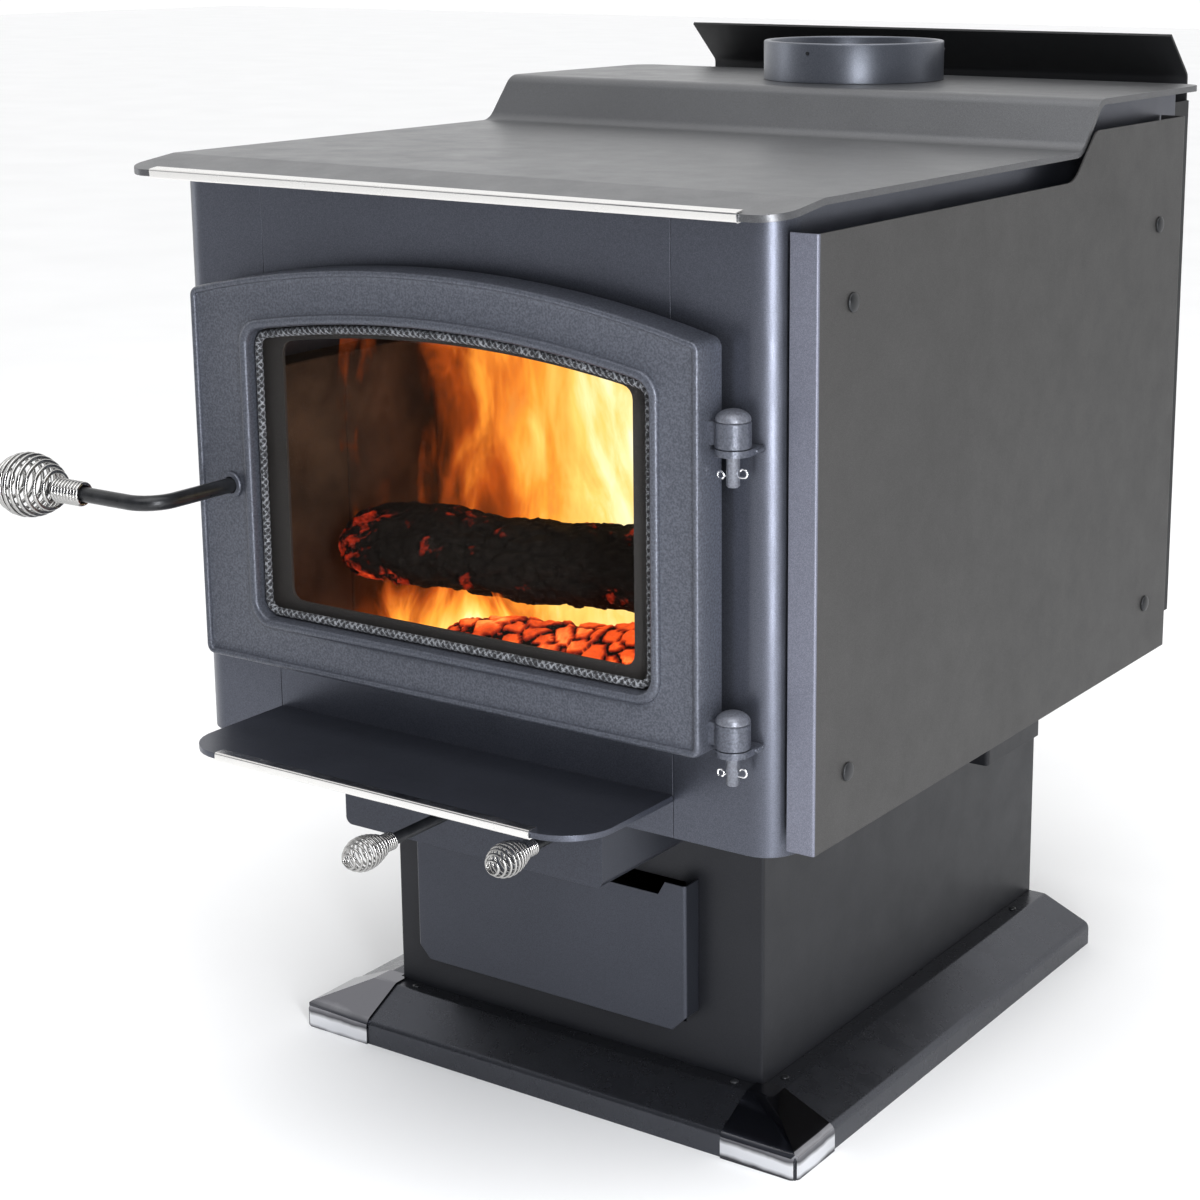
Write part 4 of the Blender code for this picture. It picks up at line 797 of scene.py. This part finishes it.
# ---------------------------------------------------------------- firebricks
def build_bricks():
    """Five upright splits with open joints, in place of each plain wall slab of the lining."""
    half_joint = 0.0006
    bricks = 5
    for side, axis in (("left", 1), ("right", 1), ("back", 0)):
        low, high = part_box(f"brick_wall_{side}")
        length = (high[axis] - low[axis]) / bricks
        shape = bmesh.new()
        for n in range(bricks):
            one, two = Vector(low), Vector(high)
            one[axis], two[axis] = low[axis] + length * n + half_joint, low[axis] + length * (n + 1) - half_joint
            one.z, two.z = low.z + half_joint, high.z - half_joint
            brick = bmesh.ops.create_cube(shape, size=1.0)["verts"]
            place = Matrix.Translation((one + two) / 2) @ Matrix.Diagonal((*(two - one), 1.0))
            bmesh.ops.transform(shape, matrix=place, verts=brick)
        bmesh.ops.bevel(shape, geom=shape.edges[:], offset=0.0011, segments=1, affect="EDGES")
        piece(f"{side}_wall_bricks", shape, BRICK, "stove", f"brick_wall_{side}", smooth=False)


# ---------------------------------------------------------------- the fire
def charred_log(name, start, end, radius, look, seed, flat=0.0, block=0.024, squeeze=0.85):
    """A burnt log: split on the side at angle flat if that is set, with the char broken into blocks."""
    start, end = Vector(start), Vector(end)
    axis = (end - start).normalized()
    one = axis.cross(Vector((0, 0, 1))).normalized()
    other = one.cross(axis)
    length = (end - start).length
    rows = []
    shape = bmesh.new()
    crust = shape.verts.layers.float.new("crust")
    rings, sides = 150, 84
    shift = Vector((seed * 3.1, seed * 1.7, seed * 0.9))
    for n in range(rings + 1):
        share = n / rings
        end_round = min(1.0, math.sqrt(max(0.0, 1 - (abs(share - 0.5) * 2) ** 14)) + 0.02)
        row = []
        for k in range(sides):
            angle = math.tau * k / sides
            away = one * math.cos(angle) + other * math.sin(angle)
            reach = radius * end_round * (0.92 + 0.10 * math.sin(2 * angle + seed))
            if flat:
                facing = math.cos(angle - flat)
                if facing > 0.55:
                    reach *= min(1.0, 0.6325 / facing)
            spot = start + axis * (length * share) + away * reach
            grain = Vector((spot.dot(one) / 0.016, spot.dot(axis) / block, spot.dot(other) / 0.016)) + shift
            distances, _ = noise.voronoi(grain)
            crack = min(1.0, max(0.0, (distances[1] - distances[0]) / 0.16))
            rough = noise.fractal(spot * 60 + shift, 0.8, 2.1, 4) * 0.0034
            reach += rough - (1 - crack) ** 1.5 * radius * 0.11 + noise.noise(spot * 14 + shift) * radius * 0.20
            vertex = shape.verts.new(
                start + axis * (length * share) + one * (math.cos(angle) * reach)
                + other * (math.sin(angle) * reach * squeeze))
            vertex[crust] = crack
            row.append(vertex)
        rows.append(row)
    strip(shape, rows)
    shape.faces.new(rows[0])
    shape.faces.new(rows[-1])
    piece(name, shape, look, "stove", sharp=180.0)


def flame(name, y_low, y_high, x_low, x_high, z_low, z_high, look, bend, rounded=False):
    """A wavy sheet of fire that fades by its own shader. It runs from y_low on the left to y_high on the right."""
    shape = bmesh.new()
    level = shape.verts.layers.float.new("level")
    rows = []
    for r in range(41):
        up = r / 40
        row = []
        for c in range(61):
            across = c / 60
            x = x_low + (x_high - x_low) * across
            y = y_low + (y_high - y_low) * across
            z = z_low + (z_high - z_low) * up
            wave = 0.012 * math.sin(9 * across + 4 * up + bend) * (0.3 + up)
            vertex = shape.verts.new(at(x, y + wave, z))
            vertex[level] = math.sin(math.pi * across) ** 0.5 * (1 - up) ** 0.5 * 0.6 if rounded else across
            row.append(vertex)
        rows.append(row)
    strip(shape, rows, closed_columns=False)
    piece(name, shape, look, "stove", sharp=180.0)


def build_fire():
    """Logs, embers, flames and the glow that they throw. All of it stays clear of the ash plug."""
    charred_log("top_log", at(-0.220, 0.118, 0.438), at(0.222, 0.130, 0.455), 0.040, CHAR, 3.0)
    charred_log("front_log", at(-0.080, 0.080, 0.366), at(0.226, 0.104, 0.404), 0.047, EMBER, 8.0,
                flat=2.4, block=0.021)
    charred_log("back_log", at(-0.200, 0.205, 0.362), at(-0.02, 0.060, 0.352), 0.018, CHAR, 5.0)
    charred_log("cross_log", at(0.120, 0.060, 0.352), at(0.215, 0.225, 0.372), 0.018, EMBER, 6.0)
    shape = bmesh.new()
    rows = []
    for r in range(81):
        row = []
        for c in range(161):
            x = -0.235 + 0.470 * c / 160
            y = 0.050 + 0.192 * r / 80
            spot = Vector((x, y, 0.0))
            distances, _ = noise.voronoi(spot * 62)
            lump = 0.009 * max(0.0, 1 - distances[0] * 1.1) + 0.004 * noise.noise(spot * 40)
            edge = min(1.0, (0.235 - abs(x)) / 0.05, (y - 0.050) / 0.03, (0.242 - y) / 0.03)
            row.append(shape.verts.new(at(x, y, FIRE_FLOOR + max(0.0002, (0.006 + lump) * max(0.0, edge)))))
        rows.append(row)
    strip(shape, rows, closed_columns=False)
    piece("ember_bed", shape, COALS, "stove", sharp=180.0)
    foot = FIRE_FLOOR + 0.004
    flame("flame_back", 0.205, 0.236, -0.236, 0.236, foot, 0.596, FLAME_BACK, 0.0)
    flame("flame_front", 0.140, 0.192, -0.236, 0.236, foot, 0.614, FLAME_FRONT, 2.0)
    flame("flame_low", 0.104, 0.112, -0.185, 0.030, foot, 0.430, FLAME_LOW, 1.0, True)
    flame("flame_side", 0.075, 0.070, -0.236, -0.105, foot, 0.440, FLAME_SIDE, 0.4, True)

    glow = bpy.data.lights.new("fire_glow", "POINT")
    glow.shadow_soft_size = 0.05
    glow.energy = 1.1
    glow.color = (1.0, 0.36, 0.10)
    lamp = bpy.data.objects.new("fire_glow", glow)
    lamp.location = at(0.06, 0.28, 0.46)
    scene.collection.objects.link(lamp)


# ---------------------------------------------------------------- softer folds on the sheet metal
def folds():
    """A modifier that shades bent sheet smoothly and keeps its cut edges sharp."""
    tree = bpy.data.node_groups.new("soft_folds", "GeometryNodeTree")
    tree.interface.new_socket("Geometry", in_out="INPUT", socket_type="NodeSocketGeometry")
    tree.interface.new_socket("Geometry", in_out="OUTPUT", socket_type="NodeSocketGeometry")
    start = tree.nodes.new("NodeGroupInput")
    merge = tree.nodes.new("GeometryNodeMergeByDistance")
    merge.inputs["Distance"].default_value = 0.00001
    whole = tree.nodes.new("GeometryNodeSetShadeSmooth")
    edges = tree.nodes.new("GeometryNodeSetShadeSmooth")
    edges.domain = "EDGE"
    edges.inputs["Shade Smooth"].default_value = False
    angle = tree.nodes.new("GeometryNodeInputMeshEdgeAngle")
    over = tree.nodes.new("FunctionNodeCompare")
    over.inputs["B"].default_value = math.radians(34)
    end = tree.nodes.new("NodeGroupOutput")
    tree.links.new(start.outputs[0], merge.inputs["Geometry"])
    tree.links.new(merge.outputs["Geometry"], whole.inputs["Geometry"])
    tree.links.new(whole.outputs["Geometry"], edges.inputs["Geometry"])
    tree.links.new(angle.outputs["Unsigned Angle"], over.inputs["A"])
    tree.links.new(over.outputs["Result"], edges.inputs["Selection"])
    tree.links.new(edges.outputs["Geometry"], end.inputs[0])
    for name in ("firebox_right_side", "firebox_left_side", "top_plate", "side_heat_shield", "rear_heat_shield",
                 "skirt_front", "skirt_left", "skirt_right", "corner_cap_left", "corner_cap_right", "ash_lip",
                 "top_trim", "ash_lip_trim", "air_box", "drawer_front", "pedestal_shell", "right_support_bracket",
                 "left_support_bracket", "ash_plug", "air_tube_front", "air_tube_rear"):
        modifier = nodes[name].modifiers.new("soft_folds", "NODES")
        modifier.node_group = tree
        weighted = nodes[name].modifiers.new("weighted_normals", "WEIGHTED_NORMAL")
        weighted.keep_sharp = True
        weighted.weight = 100


# ---------------------------------------------------------------- floor, lights and camera
def studio():
    """A wide pale floor, a world that is pale behind and dimmer in front, soft lamps, and the camera."""
    bpy.ops.mesh.primitive_grid_add(x_subdivisions=40, y_subdivisions=40, size=40.0)
    floor = bpy.context.object
    floor.name = "floor"
    shader = Shader("pale_floor", (0.90, 0.90, 0.90), 0.8)
    shader.feed("Base Color", shader.ramp(shader.noise(3.0, 3.0), (0.3, 0.89), (0.7, 0.92)))
    floor.data.materials.append(shader.material)

    world = bpy.data.worlds.new("studio")
    scene.world = world
    world.use_nodes = True
    tree = world.node_tree
    direction = tree.nodes.new("ShaderNodeTexCoord")
    along = tree.nodes.new("ShaderNodeVectorMath")
    along.operation = "DOT_PRODUCT"
    along.inputs[1].default_value = (-0.5, 0.866, 0.0)
    shade = tree.nodes.new("ShaderNodeValToRGB")
    shade.color_ramp.elements[0].position = 0.30
    shade.color_ramp.elements[0].color = (0.10, 0.107, 0.125, 1.0)
    shade.color_ramp.elements[1].position = 0.62
    shade.color_ramp.elements[1].color = (1.0, 1.0, 1.0, 1.0)
    half = tree.nodes.new("ShaderNodeMapRange")
    half.inputs["From Min"].default_value = -1.0
    tree.links.new(direction.outputs["Generated"], along.inputs[0])
    tree.links.new(along.outputs["Value"], half.inputs["Value"])
    tree.links.new(half.outputs["Result"], shade.inputs["Fac"])
    tree.links.new(shade.outputs["Color"], tree.nodes["Background"].inputs["Color"])
    tree.nodes["Background"].inputs["Strength"].default_value = 1.05

    for name, place, target, size, power, colour in (
        ("overhead", (0.2, 0.2, 3.2), (0.0, 0.0, 0.7), (3.0, 2.4), 24.0, (1.0, 1.0, 1.0)),
        ("right_key", (0.98, -1.06, 0.66), (0.27, -0.34, 0.50), (0.18, 1.10), 18.0, (0.96, 0.975, 1.0)),
        ("left_strip", (-2.2, -0.6, 1.1), (0.0, -0.2, 0.5), (0.5, 1.6), 5.0, (0.95, 0.97, 1.0)),
    ):
        light = bpy.data.lights.new(name, "AREA")
        light.shape = "RECTANGLE"
        light.size, light.size_y = size
        light.energy = power
        light.color = colour
        lamp = bpy.data.objects.new(name, light)
        lamp.location = place
        lamp.rotation_euler = (Vector(target) - Vector(place)).to_track_quat("-Z", "Y").to_euler()
        lamp.visible_camera = False
        scene.collection.objects.link(lamp)

    sky = bpy.data.lights.new("soft_sun", "SUN")
    sky.energy = 1.5
    sky.angle = math.radians(50)
    lamp = bpy.data.objects.new("soft_sun", sky)
    lamp.rotation_euler = Vector((-0.35, 0.75, -1.6)).to_track_quat("-Z", "Y").to_euler()
    scene.collection.objects.link(lamp)

    camera = bpy.data.cameras.new("camera")
    camera.sensor_width = 36.0
    camera.lens = 72.62
    camera.shift_x = -0.1038
    camera.shift_y = -0.0941
    camera.clip_end = 50.0
    taker = bpy.data.objects.new("camera", camera)
    taker.location = (1.1278, -1.7177, 0.9415)
    taker.rotation_euler = (math.radians(76.937), 0.0, math.radians(33.018))
    scene.collection.objects.link(taker)
    scene.camera = taker
    scene.view_settings.view_transform = "Standard"


folds()
build_door()
build_ropes()
build_hinges()
build_screws()
build_collar()
build_handles()
build_bricks()
build_fire()
studio()
